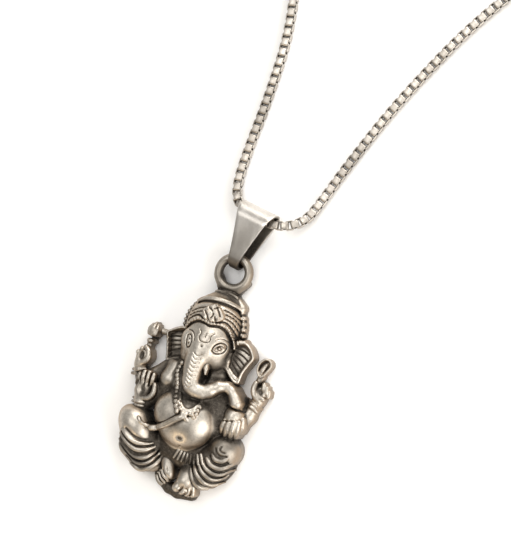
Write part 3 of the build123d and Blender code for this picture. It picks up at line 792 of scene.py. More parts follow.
@dataclass
class RightArms(Form):
    """The two arms on the viewer's right: the hand over the knee, and the one with the noose."""

    arms: Strokes = (
        Limb((
            (7.7, -2.7, 1.7, 1.4), (8.7, -1.0, 1.9, 1.25), (9.2, 0.6, 2.0, 1.0),
            (9.6, 1.8, 2.1, 0.95), (9.7, 3.0, 2.1, 1.05),
        ), Join.CAST),
        Limb(((4.4, 2.3, 2.1, 1.4), (6.1, 0.4, 2.3, 1.3), (6.8, -0.8, 2.8, 1.3)), Join.CAST),
        Limb(((6.4, -0.7, 2.8, 1.3), (7.15, -1.2, 3.8, 1.3), (7.2, -2.4, 4.1, 1.4)), Join.CAST),
        Dome((7.05, -1.5, 3.5), (1.5, 1.6, 2.1), 0.3),
    )
    fingers: Strokes = each(Tube, (
        ((5.25, -2.4, 4.9, 0.44), (5.15, -3.5, 4.8, 0.45), (5.3, -4.3, 4.2, 0.4)),
        ((5.9, -2.3, 5.2, 0.44), (5.85, -3.6, 5.2, 0.45), (5.95, -4.6, 4.5, 0.42)),
        ((6.6, -2.2, 5.3, 0.44), (6.6, -3.6, 5.2, 0.45), (6.65, -4.6, 4.5, 0.42)),
        ((7.25, -2.1, 5.0, 0.44), (7.35, -3.5, 4.8, 0.45), (7.35, -4.4, 4.2, 0.4)),
        ((7.75, -1.6, 4.0, 0.45), (8.0, -2.7, 3.9, 0.42), (8.0, -3.6, 3.5, 0.34)),
    ), 0.1)
    knuckle_crease: Strokes = (Groove((
        (4.9, -2.5), (5.6, -2.35), (6.6, -2.05),
    ), 0.11, 0.18, 2.0, 0.8),)
    far_palm: Strokes = (Pad((9.1, 3.4, 3.4), (0.6, 0.75, 0.7), 0.15, cut=True),)
    far_fingers: Strokes = each(Tube, (
        ((8.05, 4.3, 2.7, 0.36), (7.98, 3.3, 2.9, 0.42), (8.4, 2.4, 3.0, 0.44),
         (9.2, 1.85, 2.8, 0.42)),
        ((8.75, 3.0, 2.7, 0.32), (9.1, 2.4, 2.9, 0.36), (9.8, 2.2, 2.8, 0.36)),
        ((9.45, 3.7, 2.6, 0.36), (9.35, 4.45, 2.6, 0.34)),
        ((10.0, 3.3, 2.6, 0.36), (9.9, 4.05, 2.6, 0.34)),
        ((10.45, 2.8, 2.4, 0.36), (10.4, 3.5, 2.4, 0.34)),
    ), 0.08)
    bracelets: Strokes = tuple(
        Strand(((7.7, start), (8.8, (start + end) / 2 - 0.05), (9.9, end)), 0.27, 0.08, 0.08, 0.9)
        for start, end in ((1.5, 0.65), (0.95, 0.1))
    )
    noose_stem: Strokes = (Limb(((8.7, 4.4, 1.6, 0.55), (8.95, 5.4, 1.6, 0.55)), 0.15),)
    noose: Strokes = (Plate((
        (8.5, 5.3), (8.0, 6.2), (8.05, 7.3), (8.7, 8.2), (9.4, 8.35), (10.0, 8.0), (10.2, 7.3),
        (9.8, 6.3), (9.2, 5.3),
    ), dished(2.7, 0.75, 0.25, 0.3), 0.1, 0.12),)
    noose_strand: Strokes = (
        Tube(((8.35, 5.6, 2.2, 0.24), (8.45, 6.4, 2.3, 0.34), (8.85, 7.4, 2.2, 0.24)), 0.06),
        Groove(((8.1, 5.4), (7.9, 6.3), (8.2, 7.4), (8.9, 8.0)), 0.09, 0.12, 1.0, 0.8),
    )

    def lay(self) -> None:
        """Lays both arms and the noose."""
        self.work(self.arms, self.fingers, self.knuckle_crease)
        self.work(self.far_palm, self.far_fingers, self.bracelets, self.noose_stem)
        self.work(self.noose, self.noose_strand)


@dataclass
class Ears(Form):
    """The two ears, each dished inside a raised rim, with their ribs."""

    plates: Strokes = (
        Plate((
            (-3.4, 9.1), (-4.8, 9.35), (-5.8, 9.0), (-6.8, 8.3), (-7.35, 7.7), (-7.0, 6.4),
            (-6.5, 4.7), (-6.15, 3.5), (-5.0, 3.9), (-3.2, 5.2),
        ), dished(2.9, 0.9, 0.3, 0.45), 0.2, 0.25),
        Plate((
            (2.9, 8.7), (4.8, 9.75), (5.9, 9.6), (6.85, 8.8), (7.4, 7.7), (6.9, 6.4), (6.4, 5.0),
            (6.15, 3.4), (5.2, 3.4), (3.9, 4.5), (2.8, 6.0),
        ), dished(3.7, 0.8, 0.3, 0.45), 0.2, 0.28),
    )
    right_rim: Strokes = each(Limb, (
        (
            (3.7, 5.0, 3.3, 0.3), (3.6, 6.2, 3.6, 0.32), (3.55, 7.4, 3.75, 0.32),
            (3.75, 8.6, 3.75, 0.33), (4.35, 9.4, 3.65, 0.33), (5.2, 9.65, 3.55, 0.3),
        ),
        (
            (3.8, 5.2, 3.2, 0.34), (4.6, 4.5, 3.3, 0.34), (5.4, 4.0, 3.3, 0.34),
            (6.0, 3.6, 3.2, 0.3),
        ),
    ), 0.12)
    slots: Strokes = each(Groove, (
        ((3.9, 8.5), (4.8, 8.45), (5.8, 8.05)),
        ((3.8, 7.85), (4.8, 7.65), (5.85, 7.1)),
        ((3.75, 7.2), (4.7, 6.85), (5.6, 6.2)),
        ((3.75, 6.55), (4.6, 6.05), (5.35, 5.4)),
        ((3.75, 5.85), (4.4, 5.3), (5.0, 4.7)),
        ((-5.0, 8.35), (-6.0, 8.2), (-7.0, 7.7)),
        ((-5.0, 7.65), (-6.0, 7.4), (-7.1, 6.9)),
        ((-4.9, 7.0), (-5.9, 6.7), (-6.9, 6.2)),
        ((-4.8, 6.35), (-5.7, 6.0), (-6.6, 5.5)),
        ((-4.7, 5.7), (-5.5, 5.3), (-6.3, 4.8)),
    ), 0.09, 0.18, 0.6, 0.85)

    def lay(self) -> None:
        """Lays the ears' plates, the right one's rim and the slots between the ribs."""
        self.work(self.plates, self.right_rim, self.slots)


@dataclass
class Head(Form):
    """The skull, the cheeks, the jaws and the brows."""

    skull: Strokes = (Dome((-0.2, 7.8, 3.6), (3.75, 4.0, 3.45), 0.3),)
    cheeks: Strokes = (
        Dome((1.85, 5.9, 3.7), (1.5, 1.9, 1.7), Join.FLOWING, drop=False),
        Dome((-2.5, 5.9, 3.7), (1.45, 1.9, 1.55), Join.FLOWING, drop=False),
    )
    jaws: Strokes = (
        Dome((1.8, 3.5, 2.7), (2.3, 1.7, 1.8), 0.4),
        Dome((-2.6, 3.6, 2.6), (1.6, 1.7, 1.7), 0.4),
    )
    brows: Strokes = (
        Dome((-2.9, 7.9, 5.0), (1.2, 1.6, 1.2), Join.FLOWING, drop=False),
        Dome((1.9, 8.1, 4.8), (1.5, 1.5, 1.1), Join.FLOWING, drop=False),
    )

    def lay(self) -> None:
        """Lays the head."""
        self.work(self.skull, self.cheeks, self.jaws, self.brows)


@dataclass
class Trunk(Form):
    """The trunk with its curl to the viewer's right, and the tusk."""

    trunk: Strokes = (
        Limb((
            (-0.1, 8.6, 4.7, 2.15), (-0.3, 6.6, 5.2, 1.9), (-0.68, 5.2, 5.65, 1.6),
        ), Join.FLOWING, inner_soft=0.6),
        Limb((
            (-0.3, 6.6, 5.25, 1.84), (-0.7, 5.0, 5.75, 1.6), (-0.72, 4.0, 5.95, 1.4),
            (-0.62, 3.0, 6.1, 1.26), (-0.45, 1.8, 6.15, 1.2), (-0.05, 1.0, 6.1, 1.17),
            (0.7, 0.6, 6.05, 1.13), (1.65, 0.6, 5.95, 1.08), (2.73, 1.2, 5.75, 0.97),
            (3.78, 2.15, 5.45, 0.86), (4.92, 2.55, 5.1, 0.68), (5.85, 2.1, 4.95, 0.64),
            (6.65, 1.2, 4.95, 0.74), (7.1, 0.5, 5.0, 0.98),
        ), 0.22, inner_soft=0.5),
        Groove(((4.95, -0.2), (6.1, -0.35), (7.4, -0.45)), 0.14, 0.35, 3.0),
    )
    tusk: Strokes = (Limb((
        (1.0, 5.1, 5.5, 0.45), (1.25, 4.3, 6.1, 0.36), (1.5, 3.45, 6.5, 0.16),
    ), 0.08),)

    def lay(self) -> None:
        """Lays the trunk and the tusk."""
        self.work(self.trunk, self.tusk)


@dataclass
class Dress(Form):
    """What the body wears: the sash, the bead necklace and its tassel, with the navel below."""

    belly_fold: Strokes = (Groove((
        (-5.9, -6.5), (-4.6, -6.1), (-3.2, -5.2), (-2.2, -4.0), (-1.6, -3.0),
    ), 0.22, 0.2, 3.0, 0.4),)
    sash: Strokes = (
        Sling((
            (-7.6, -6.05, 5.0), (-7.1, -6.6, 5.3), (-6.4, -6.8, 5.2), (-5.5, -6.85, 5.2),
            (-4.9, -6.75, 5.3),
        ), 0.26),
        Sling((
            (-5.3, -6.95, 5.2), (-4.5, -6.65, 5.4), (-3.6, -5.95, 5.8), (-2.7, -5.1, 6.2),
            (-1.9, -4.3, 6.4), (-1.2, -3.7, 6.5),
        ), 0.46),
        Groove((
            (-5.1, -6.85), (-4.4, -6.5), (-3.5, -5.8), (-2.6, -4.9), (-1.8, -4.1),
        ), 0.1, 0.09, 4.0, 0.5),
    )
    cord: Strokes = (Strand((
        (-2.5, -0.6), (-2.2, -1.6), (-1.6, -2.4), (-0.9, -2.7), (-0.1, -2.4), (0.5, -1.7),
        (1.0, -0.7),
    ), 0.36, 0.0, 0.1, 0.9),)
    outer_beads: Strokes = each(Pip, (
        (-3.6, 3.9), (-3.75, 3.2), (-3.85, 2.5), (-3.7, 1.9), (-3.5, 1.3), (-3.3, 0.7),
        (-3.15, 0.05), (-3.0, -0.6), (-2.9, -1.25), (-2.75, -1.85), (-2.5, -2.45), (-2.15, -3.0),
    ), 0.41, 0.05)
    inner_beads: Strokes = each(Pip, tuple((h, y - 0.3) for h, y in (
        (-2.35, -1.5), (-1.85, -2.25), (-1.35, -2.75), (-0.75, -2.9), (0.1, -2.55), (0.55, -1.95),
        (0.95, -1.3),
    )), 0.36, 0.05)
    cluster: Strokes = each(Pip, (
        (-2.2, -3.2), (-1.75, -3.3), (-1.3, -3.2), (0.25, -2.4), (0.75, -2.15), (0.7, -2.7),
        (0.2, -2.95), (0.5, -3.3), (-0.2, -2.95),
    ), 0.34, -0.06, 0.12)
    tassel: Strokes = (
        Strand(((-1.1, -3.3), (-0.7, -3.7), (-0.35, -4.05)), 0.42, -0.26, 0.1, 0.8),
        Pit((-0.35, -3.35), 0.12, 0.25),
        Pit((0.48, -2.6), 0.08, 0.16),
    )
    navel: Point2 = (-0.65, -7.05)
    navel_half: float = 0.1
    below_navel: Strokes = (Pit((-0.3, -8.25), 0.16, 0.12),)

    def lay(self) -> None:
        """Lays the sash, then the necklace over it, then presses the navel."""
        self.work(self.belly_fold, self.sash, self.cord, self.outer_beads, self.inner_beads)
        self.work(self.cluster, self.tassel)
        x, y = self.place(*self.navel)
        self.clay.press([(x - self.navel_half, y), (x + self.navel_half, y)], width=0.42,
                        depth=0.26, floor=3.0, ink=0.45)
        self.work(self.below_navel)


@dataclass
class Face(Form):
    """The carving of the face: the eyes, the brows, the mark between them and the creases."""

    crease_heights: tuple[float, ...] = (5.85, 5.2, 4.55, 3.9, 3.25, 2.6, 2.0, 1.4, 0.85)
    crease_middle: float = -1.72
    wide_reach: float = 0.62
    narrow_reach: float = 0.5
    narrow_below: float = 2.2
    mark: Strokes = (
        Groove((
            (-2.45, 9.75), (-2.15, 9.3), (-2.3, 8.65), (-2.05, 8.12), (-1.5, 8.0), (-0.95, 8.08),
            (-0.55, 8.5), (-0.6, 9.2), (-0.2, 9.65),
        ), 0.1, 0.15, 3.0, 0.7),
        Groove(((-1.35, 9.45), (-1.42, 8.8)), 0.09, 0.13, 3.0, 0.6),
        Pit((-1.55, 7.35), 0.17, 0.2),
    )
    right_eye: Line = (
        (0.15, 7.15), (0.35, 7.9), (0.9, 8.5), (1.55, 8.65), (2.1, 8.4), (2.15, 7.95), (1.85, 7.3),
        (1.3, 6.95), (0.65, 6.85),
    )
    right_lid: Strokes = (
        Strand((
            (0.32, 7.25), (0.62, 7.9), (1.1, 8.28), (1.62, 8.32), (1.95, 8.0),
        ), 0.15, 0.02, 0.06, 0.5),
        Groove((
            (0.5, 7.2), (0.8, 7.75), (1.2, 8.08), (1.65, 8.08), (1.82, 7.8), (1.5, 7.35),
            (1.0, 7.17), (0.5, 7.2),
        ), 0.08, 0.13, 3.0, 0.6),
    )
    right_iris: Point2 = (1.22, 7.68)
    iris_radius: float = 0.26
    right_brow: Strokes = (Groove((
        (0.4, 8.9), (1.1, 9.25), (1.8, 9.2), (2.45, 8.85), (2.75, 8.2),
    ), 0.12, 0.13, 3.0, 0.7),)
    left_eye: Line = (
        (-4.05, 8.3), (-3.75, 8.55), (-3.4, 8.2), (-3.22, 7.4), (-3.3, 6.75), (-3.65, 6.55),
        (-3.95, 7.2),
    )
    left_iris: Point2 = (-3.62, 7.55)
    left_iris_half: float = 0.35
    left_brow: Strokes = (Groove((
        (-4.1, 9.15), (-3.5, 9.1), (-3.0, 8.5), (-2.85, 7.8),
    ), 0.12, 0.14, 2.0, 0.8),)
    mouth: Point2 = (0.25, 2.9)

    def carve(self) -> None:
        """Carves the trunk's creases, the mark, both eyes and the hollow beside the trunk."""
        for y in self.crease_heights:
            reach = self.wide_reach if y > self.narrow_below else self.narrow_reach
            crease = ((self.crease_middle - reach, y + 0.22), (self.crease_middle, y - 0.12),
                      (self.crease_middle + reach, y + 0.22))
            Groove(crease, 0.09, 0.12, 4.0, 0.5).work(self)
        self.work(self.mark)
        self.carve_right_eye()
        self.carve_left_eye()
        x, _ = self.place(*self.mouth)
        self.clay.press([(x, 3.7), (x + 0.1, 2.9), (x + 0.1, 2.0)], width=0.5, depth=0.9,
                        floor=1.0, ceiling=5.4)

    def carve_right_eye(self) -> None:
        """Carves the eye and the brow on the viewer's right."""
        Groove((*self.right_eye, self.right_eye[0]), 0.11, 0.2, 3.0).work(self)
        self.work(self.right_lid)
        x, y = self.place(*self.right_iris)
        Dome((x, y, self.clay.tops(x, y) - 0.08), (0.38, 0.34, 0.35), 0.06, False).work(self)
        self.clay.press(circle(x, y, self.iris_radius), width=0.08, depth=0.13, floor=3.0, ink=0.7)
        self.work(self.right_brow)

    def carve_left_eye(self) -> None:
        """Carves the eye and the brow on the viewer's left, which the front sees from the side."""
        Groove((*self.left_eye, self.left_eye[0]), 0.12, 0.2, 2.0, 1.1).work(self)
        x, y = self.place(*self.left_iris)
        self.clay.press([(x, y - self.left_iris_half), (x, y + self.left_iris_half)], width=0.2,
                        depth=0.14, floor=2.0, ink=1.1)
        Dome((x, y, self.clay.tops(x, y) - 0.05), (0.22, 0.34, 0.28), 0.05, False).work(self)
        self.work(self.left_brow)


@dataclass
class Crown(Form):
    """The crown: its cap and back rim, its bands with brick joints, its ornament and its beads."""

    cap: Strokes = (
        Dome((-0.5, 10.5, 0.9), (5.1, 5.3, 1.75), 0.2),
        Dome((-0.45, 10.6, 2.2), (4.3, 5.35, 4.2), 0.25),
        Dome((-0.3, 15.3, 1.7), (2.0, 0.75, 1.75), 0.4),
        Dome((-0.4, 10.6, 1.2), (4.65, 5.0, 2.3), 0.3),
        Limb(((0.9, 15.9, 1.6, 0.8), (2.8, 14.5, 1.8, 0.8)), 0.4),
    )
    front_band: Line = (
        (-4.6, 9.6), (-4.1, 10.6), (-3.2, 11.3), (-2.4, 11.15), (-1.35, 10.95), (-0.1, 11.2),
        (0.8, 11.2), (1.7, 10.85), (2.35, 9.95), (3.0, 9.2), (3.3, 8.4),
    )
    bands: Strokes = (
        Strand((
            (-4.1, 13.75), (-3.4, 14.3), (-2.3, 14.7), (-1.0, 14.85), (0.5, 14.8), (1.9, 14.5),
            (3.0, 13.9),
        ), 0.36, -0.22, 0.35, 0.7),
        Groove((
            (-4.05, 13.45), (-3.3, 13.9), (-2.3, 14.2), (-1.0, 14.35), (0.5, 14.3), (1.9, 14.0),
            (3.0, 13.45),
        ), 0.2, 0.4, 1.5),
        *each(Groove, (
            ((0.2, 13.55), (1.5, 13.3), (3.0, 12.6), (3.6, 11.9)),
            ((0.6, 12.95), (2.0, 12.6), (3.2, 11.8), (3.7, 11.0)),
            ((0.7, 12.35), (2.0, 11.9), (3.2, 10.8), (3.6, 10.0)),
            ((-4.5, 12.0), (-3.6, 12.75), (-2.6, 13.2)),
            ((-4.7, 11.2), (-3.9, 12.0), (-3.0, 12.45)),
        ), 0.11, 0.22, 1.5, 0.7),
        Strand(front_band, 0.36, -0.06, 0.12, 0.8),
        Groove((
            (-4.7, 10.4), (-4.2, 11.2), (-3.3, 11.75), (-2.6, 11.45), (-1.4, 11.25), (-0.2, 11.45),
            (0.6, 11.75), (1.5, 11.5), (2.6, 10.6), (3.3, 9.7), (3.65, 8.8),
        ), 0.12, 0.28, 1.5, 0.8),
        Groove((
            (-4.55, 9.0), (-4.1, 10.0), (-3.2, 10.75), (-2.3, 10.85), (-1.3, 10.65), (0.0, 10.85),
            (1.0, 10.65), (1.95, 9.95), (2.6, 9.2), (2.95, 8.5), (3.0, 7.8),
        ), 0.16, 0.36, 1.5),
    )
    side_bands: tuple[Line, ...] = (
        ((0.5, 13.25), (1.8, 12.95), (3.1, 12.2)),
        ((0.8, 12.65), (2.0, 12.3), (3.2, 11.3)),
        ((1.0, 12.05), (2.0, 11.65), (3.1, 10.6)),
        ((-4.5, 11.6), (-3.8, 12.35), (-2.9, 12.8)),
        ((-4.5, 10.9), (-3.9, 11.6), (-3.1, 12.0)),
    )
    ornament: Strokes = (
        Swell((
            (-1.0, 14.3), (-2.1, 13.6), (-2.9, 12.8), (-2.65, 12.0), (-2.3, 11.35), (-1.3, 11.15),
            (-0.3, 11.4), (0.3, 11.9), (0.6, 12.5), (-0.1, 13.4),
        ), 0.34, 0.2, 2.0),
        *each(Groove, (
            ((-2.65, 12.65), (-2.15, 12.1), (-1.75, 11.45)),
            ((-0.95, 13.5), (-0.5, 12.95), (-0.15, 12.4)),
            ((-2.15, 13.3), (-1.6, 13.0), (-1.25, 12.4), (-1.5, 11.85)),
            ((-0.95, 12.15), (-0.55, 11.5)),
            ((-0.75, 13.75), (-1.35, 13.35)),
        ), 0.11, 0.24, 2.0, 0.9),
        *each(Pip, (
            (-1.05, 13.95), (-1.3, 12.8), (-0.3, 12.0), (-1.25, 11.45), (-2.2, 12.7),
        ), 0.2, 0.02, 0.05),
    )
    right_beads: tuple[Point3, ...] = (
        (3.35, 14.5, 60), (3.85, 13.85, 52), (4.3, 13.1, 38), (4.6, 12.25, 24), (4.75, 11.4, 10),
        (4.8, 10.5, 0), (4.85, 9.7, -8),
    )
    right_bead_inset: float = 0.48
    left_beads: int = 11
    left_bead_start_deg: float = 116.0
    left_bead_step_deg: float = 8.0
    left_bead_reach: float = 4.95
    rim_groove: Strokes = (Groove((
        (3.2, 13.7), (3.75, 12.6), (3.95, 11.4), (3.95, 10.0), (3.85, 9.2),
    ), 0.12, 0.1, 1.0, 0.2),)
    joint_half: float = 0.24

    def lay(self) -> None:
        """Lays the cap and its back rim."""
        self.work(self.cap)

    def carve(self) -> None:
        """Carves the bands and their joints, then the ornament, then the beads of the rim."""
        self.work(self.bands)
        self.cut_joints(self.front_band, pitch=0.5, depth=0.14)
        for line in self.side_bands:
            self.cut_joints(line, pitch=0.6, depth=0.1)
        self.work(self.ornament)
        for h, y, turn_deg in self.right_beads:
            x, v = self.place(h, y)
            bead = (x - self.right_bead_inset, v, 1.9)
            Dome(bead, (0.46, 0.46, 0.6), 0.14, turn_deg=turn_deg).work(self)
        for k in range(self.left_beads):
            turn = math.radians(self.left_bead_start_deg + self.left_bead_step_deg * k)
            bead = (-0.3 + self.left_bead_reach * math.cos(turn),
                    10.4 + self.left_bead_reach * math.sin(turn), 1.55)
            Dome(bead, (0.4, 0.3, 0.4), 0.2, turn_deg=math.degrees(turn)).work(self)
        self.work(self.rim_groove)

    def cut_joints(self, line: Sequence[Point2], pitch: float, depth: float) -> None:
        """Cuts short joints across a band, an even pitch apart.

        Args:
            line: The band's middle, as readings.
            pitch: The distance between joints.
            depth: The joints' depth.
        """
        path = smooth_path(line, 0.02)
        away = distances_along(path)
        for at in np.arange(0.5 * pitch, away[-1], pitch):
            k = min(max(int(np.searchsorted(away, at)), 2), len(path) - 3)
            run = path[k + 2] - path[k - 2]
            run = run / max(np.linalg.norm(run), TINY)
            side = np.array([-run[1], run[0]]) * self.joint_half
            Groove((path[k] - side, path[k] + side), 0.08, depth, 1.5, 0.35).work(self)


@dataclass
class Ring(Form):
    """The hanging ring, cast with the figure, and the collar that joins it to the crown."""

    collar: Strokes = (
        Limb(((-1.0, 15.6, 1.6, 0.85), (0.6, 15.6, 1.6, 0.85)), 0.4),
        Limb(((-2.3, 18.4, 1.9, 0.55), (-1.35, 17.0, 1.9, 0.6), (-0.95, 16.4, 1.9, 0.75)), 0.3),
        Limb(((2.3, 18.4, 1.9, 0.55), (1.35, 17.0, 1.9, 0.6), (0.75, 16.4, 1.9, 0.75)), 0.3),
        Limb(((-0.8, 16.6, 1.85, 0.85), (0.6, 16.6, 1.85, 0.85)), 0.3),
        Strand((
            (-1.85, 15.9), (-1.1, 16.1), (-0.2, 16.15), (0.7, 16.05), (1.45, 15.85),
        ), 0.3, 0.0, 0.12, 0.8),
        Groove((
            (-1.7, 16.4), (-0.9, 16.58), (-0.2, 16.62), (0.6, 16.55), (1.35, 16.35),
        ), 0.12, 0.2, 1.0, 0.8),
    )
    centre: Point3 = (0.0, 19.4, 1.95)
    radius: float = 2.4
    wall: float = 0.68
    depth: float = 1.05
    soft: float = 0.35

    def lay(self) -> None:
        """Lays the collar on the crown, and on the collar the ring, flat and oval in section."""
        self.work(self.collar)
        size = np.array([self.radius + self.wall, self.radius + self.wall, self.depth])
        low, high = self.centre - size, self.centre + size
        place, (x, y, z) = self.clay.window(low, high, self.soft + 0.4)
        across = np.sqrt((x - self.centre[0]) ** 2 + (y - self.centre[1]) ** 2) - self.radius
        out, up = across / self.wall, (z - self.centre[2]) / self.depth
        first = np.sqrt(out ** 2 + up ** 2)
        second = np.sqrt((out / self.wall) ** 2 + (up / self.depth) ** 2)
        self.clay.blend(place, first * (first - 1) / np.maximum(second, 1e-6), self.soft)


class ShadeAndDirtPatch(NamedTuple):
    """A patch that darkens the colour, most often as painted shade, and lightens it as painted
    light where its amount is negative: where it runs in plan and how dark it is.
    """

    line: Line
    width: float
    amount: float
    ceiling: float = 9.0


@dataclass(frozen=True)
class Figure:
    """The cast elephant-headed figure, with its top ring, as one solid."""

    name: str = "figure_casting"
    cell: float = 0.08
    low: Point3 = (-11.9, -17.05, -0.33)
    high: Point3 = (11.9, 23.1, 8.7)
    most_faces: int = 96000
    hollow_scales: tuple[Point2, ...] = ((0.18, 0.6), (0.5, 0.8), (1.5, 0.9))
    ink_share: float = 0.26
    # Surfaces that lie low over the flat back are painted darker, fading out by this height over
    # this run.
    low_darkening: float = 0.22
    low_darkening_top: float = 2.9
    low_darkening_run: float = 2.0
    shade_and_dirt_strength: float = 2.6
    flank_from: float = 0.8
    flank_run: float = 0.45
    rubbed: tuple[Point3, ...] = ((-0.2, -4.5, 5.2), (-3.6, -3.6, 3.0), (-7.6, -7.2, 3.2))
    rubbed_edge: float = 0.8
    # Most patches are painted shade, darkening where shade falls: under the trunk, beside the belly
    # and between it and the arms, across the lap and the belly's middle, beside the jaws, the
    # cheek, the temple and the trunk, in the ear dishes, the palms and the hands, on the right knee
    # and the shins, between the feet, on the ledge and inside the ring's left side. Those with a
    # negative amount are painted light, brightening the belly's underside and right edge, the lap,
    # the right foot's toes and the trunk's curl. The patches round the ring and over the collar
    # darken them as tarnish.
    shade_and_dirt_patches: tuple[ShadeAndDirtPatch, ...] = (
        ShadeAndDirtPatch(((-1.6, -0.9), (0.6, -1.0), (3.2, -0.7)), 1.2, 0.34, 6.9),
        ShadeAndDirtPatch(((5.0, 1.2), (5.3, -1.5), (5.0, -4.6)), 1.1, 0.1, 5.0),
        ShadeAndDirtPatch(((-5.8, -0.6), (-6.1, -3.0), (-5.7, -5.6)), 0.9, 0.3, 4.6),
        ShadeAndDirtPatch(((-5.0, -7.4), (-3.4, -8.8), (-0.5, -9.7), (2.2, -9.5), (4.7, -7.6)), 0.9, 0.36, 4.4),
        ShadeAndDirtPatch(((2.4, 4.4), (2.9, 3.0)), 1.1, 0.1, 4.8),
        ShadeAndDirtPatch(((0.9, 3.4), (1.0, 2.2)), 0.7, 0.35, 5.6),
        ShadeAndDirtPatch(((-6.6, 8.0), (-6.4, 6.0), (-6.0, 4.4)), 1.2, 0.16, 3.2),
        ShadeAndDirtPatch(((-4.6, 3.2), (-6.2, 2.2)), 1.2, 0.2, 3.4),
        ShadeAndDirtPatch(((0.2, -12.6), (0.6, -14.5)), 0.7, 0.34, 3.0),
        ShadeAndDirtPatch(((-2.6, -14.8), (0.2, -16.0), (2.2, -16.4), (4.4, -16.0)), 0.9, 0.46, 2.3),
        ShadeAndDirtPatch(((-0.2, 16.9), (-0.2, 15.5)), 2.2, 0.1),
        ShadeAndDirtPatch(((-2.2, 20.6), (0.0, 21.8), (2.2, 20.6), (2.2, 18.2), (0.0, 17.0), (-2.2, 18.2),
               (-2.2, 20.6)), 1.0, 0.26),
        ShadeAndDirtPatch(((-7.9, -1.3), (-7.35, -2.1), (-7.9, -2.7)), 0.6, 0.36),
        ShadeAndDirtPatch(((-9.4, 8.4), (-9.4, 5.4)), 0.9, 0.16),
        ShadeAndDirtPatch(((-10.2, 3.6), (-10.0, 2.7)), 0.45, 0.32),
        ShadeAndDirtPatch(((9.05, 4.0), (9.5, 3.2), (10.0, 2.7)), 0.42, 0.44),
        ShadeAndDirtPatch(((-0.7, -4.9), (1.3, -5.6)), 1.5, 0.17),
        ShadeAndDirtPatch(((7.9, -5.9), (6.8, -7.0)), 2.0, 0.34),
        ShadeAndDirtPatch(((4.7, -6.0), (5.1, -4.2)), 0.7, -0.14),
        ShadeAndDirtPatch(((2.9, 9.9), (3.5, 8.7), (3.8, 7.4)), 0.5, 0.18),
        ShadeAndDirtPatch(((2.0, -9.8), (2.7, -9.8), (3.3, -9.2)), 0.5, -0.1),
        ShadeAndDirtPatch(((-2.2, -7.4), (0.8, -8.2), (3.6, -7.0)), 0.8, -0.2),
        ShadeAndDirtPatch(((2.1, -10.6), (2.2, -11.7)), 0.8, 0.3),
        ShadeAndDirtPatch(((2.2, -13.4), (3.8, -14.5)), 1.1, -0.16),
        ShadeAndDirtPatch(((1.3, 15.8), (2.6, 14.6)), 0.7, 0.16),
        ShadeAndDirtPatch(((-1.5, 4.8), (-1.6, 2.6)), 0.45, 0.15),
        ShadeAndDirtPatch(((-9.4, 0.1), (-9.1, -1.2)), 0.4, 0.3),
        ShadeAndDirtPatch(((3.9, 1.6), (5.6, 2.3)), 0.8, -0.08),
        ShadeAndDirtPatch(((5.5, 8.2), (5.0, 5.4)), 1.3, 0.13, 3.5),
        ShadeAndDirtPatch(((3.7, 7.0), (3.0, 5.7), (2.7, 4.9)), 0.7, 0.24),
        ShadeAndDirtPatch(((-1.6, 18.4), (-1.85, 19.4), (-1.6, 20.4)), 0.5, 0.3),
        ShadeAndDirtPatch(((-9.9, 0.2), (-9.6, -2.4)), 0.7, 0.32, 6.0),
        ShadeAndDirtPatch(((-8.8, -10.6), (-6.2, -12.2), (-4.4, -12.8)), 1.4, 0.4),
        ShadeAndDirtPatch(((7.9, -9.6), (6.2, -11.6), (4.6, -12.8)), 1.3, 0.32),
        ShadeAndDirtPatch(((-2.6, 3.8), (-3.0, 2.0)), 0.8, 0.2, 4.6),
        ShadeAndDirtPatch(((-4.5, 13.4), (-5.2, 11.6), (-5.2, 9.8)), 0.5, 0.14, 2.3),
        ShadeAndDirtPatch(((-4.2, 2.6), (-4.7, 0.2)), 1.3, 0.08),
        ShadeAndDirtPatch(((-5.9, -7.9), (-4.6, -8.6)), 0.7, 0.2, 4.8),
    )

    def sculpt(self) -> Clay:
        """Builds up the clay from the back to the front.

        Returns:
            The finished clay.
        """
        clay = Clay(self.low, self.high, self.cell)
        legs, feet, crown = Legs(clay), Feet(clay), Crown(clay)
        for work in (Body(clay).lay, legs.lay, feet.lay, LeftArms(clay).lay, RightArms(clay).lay,
                     Ears(clay).lay, Head(clay).lay, crown.lay, legs.drape, Dress(clay).lay,
                     Trunk(clay).lay, Face(clay).carve, crown.carve, feet.carve, Ring(clay).lay):
            work()
        clay.flatten_back()
        return clay

    def hollows(self, clay: Clay, points: Array) -> Array:
        """Measures how sunk the surface is at points, from the share of clay around each.

        Args:
            clay: The finished clay.
            points: The places, in millimetres.

        Returns:
            A value for each place: about 0.5 on flat ground, more in hollows, less on crests.
        """
        solid = np.clip(0.5 - clay.level / (1.5 * clay.cell), 0.0, 1.0)
        total = np.full(len(points), 0.5)
        for reach, weight in self.hollow_scales:
            found = sample(blurred(solid, int(round(reach / clay.cell))), clay, points)
            total += weight * (found - 0.5)
        blot = sample(clay.ink[:, :, None], clay, points * np.array([1.0, 1.0, 0.0]))
        total += self.ink_share * blot * (points[:, 2] > 0.5)
        return total

    def paint_shade_and_dirt(self, points: Array) -> Array:
        """Gives how much darker the colour is painted at points: more low over the flat back and in
        the patches of painted shade, less where a patch paints light.

        Args:
            points: The places, in millimetres.

        Returns:
            A value for each place, none at 0.
        """
        x, y, z = points.T
        total = self.low_darkening * np.clip((self.low_darkening_top - z) / self.low_darkening_run, 0.0, 1.0)
        # Each patch adds painted shade below its ceiling, and one with a negative amount takes it
        # away as painted light.
        for blot in self.shade_and_dirt_patches:
            away = plan_distance(x, y, smooth_path(blot.line, 0.3))
            gate = fade(z, -FAR, blot.ceiling, 0.6)
            total += blot.amount * np.exp(-(away / blot.width) ** 2) * gate
        return total

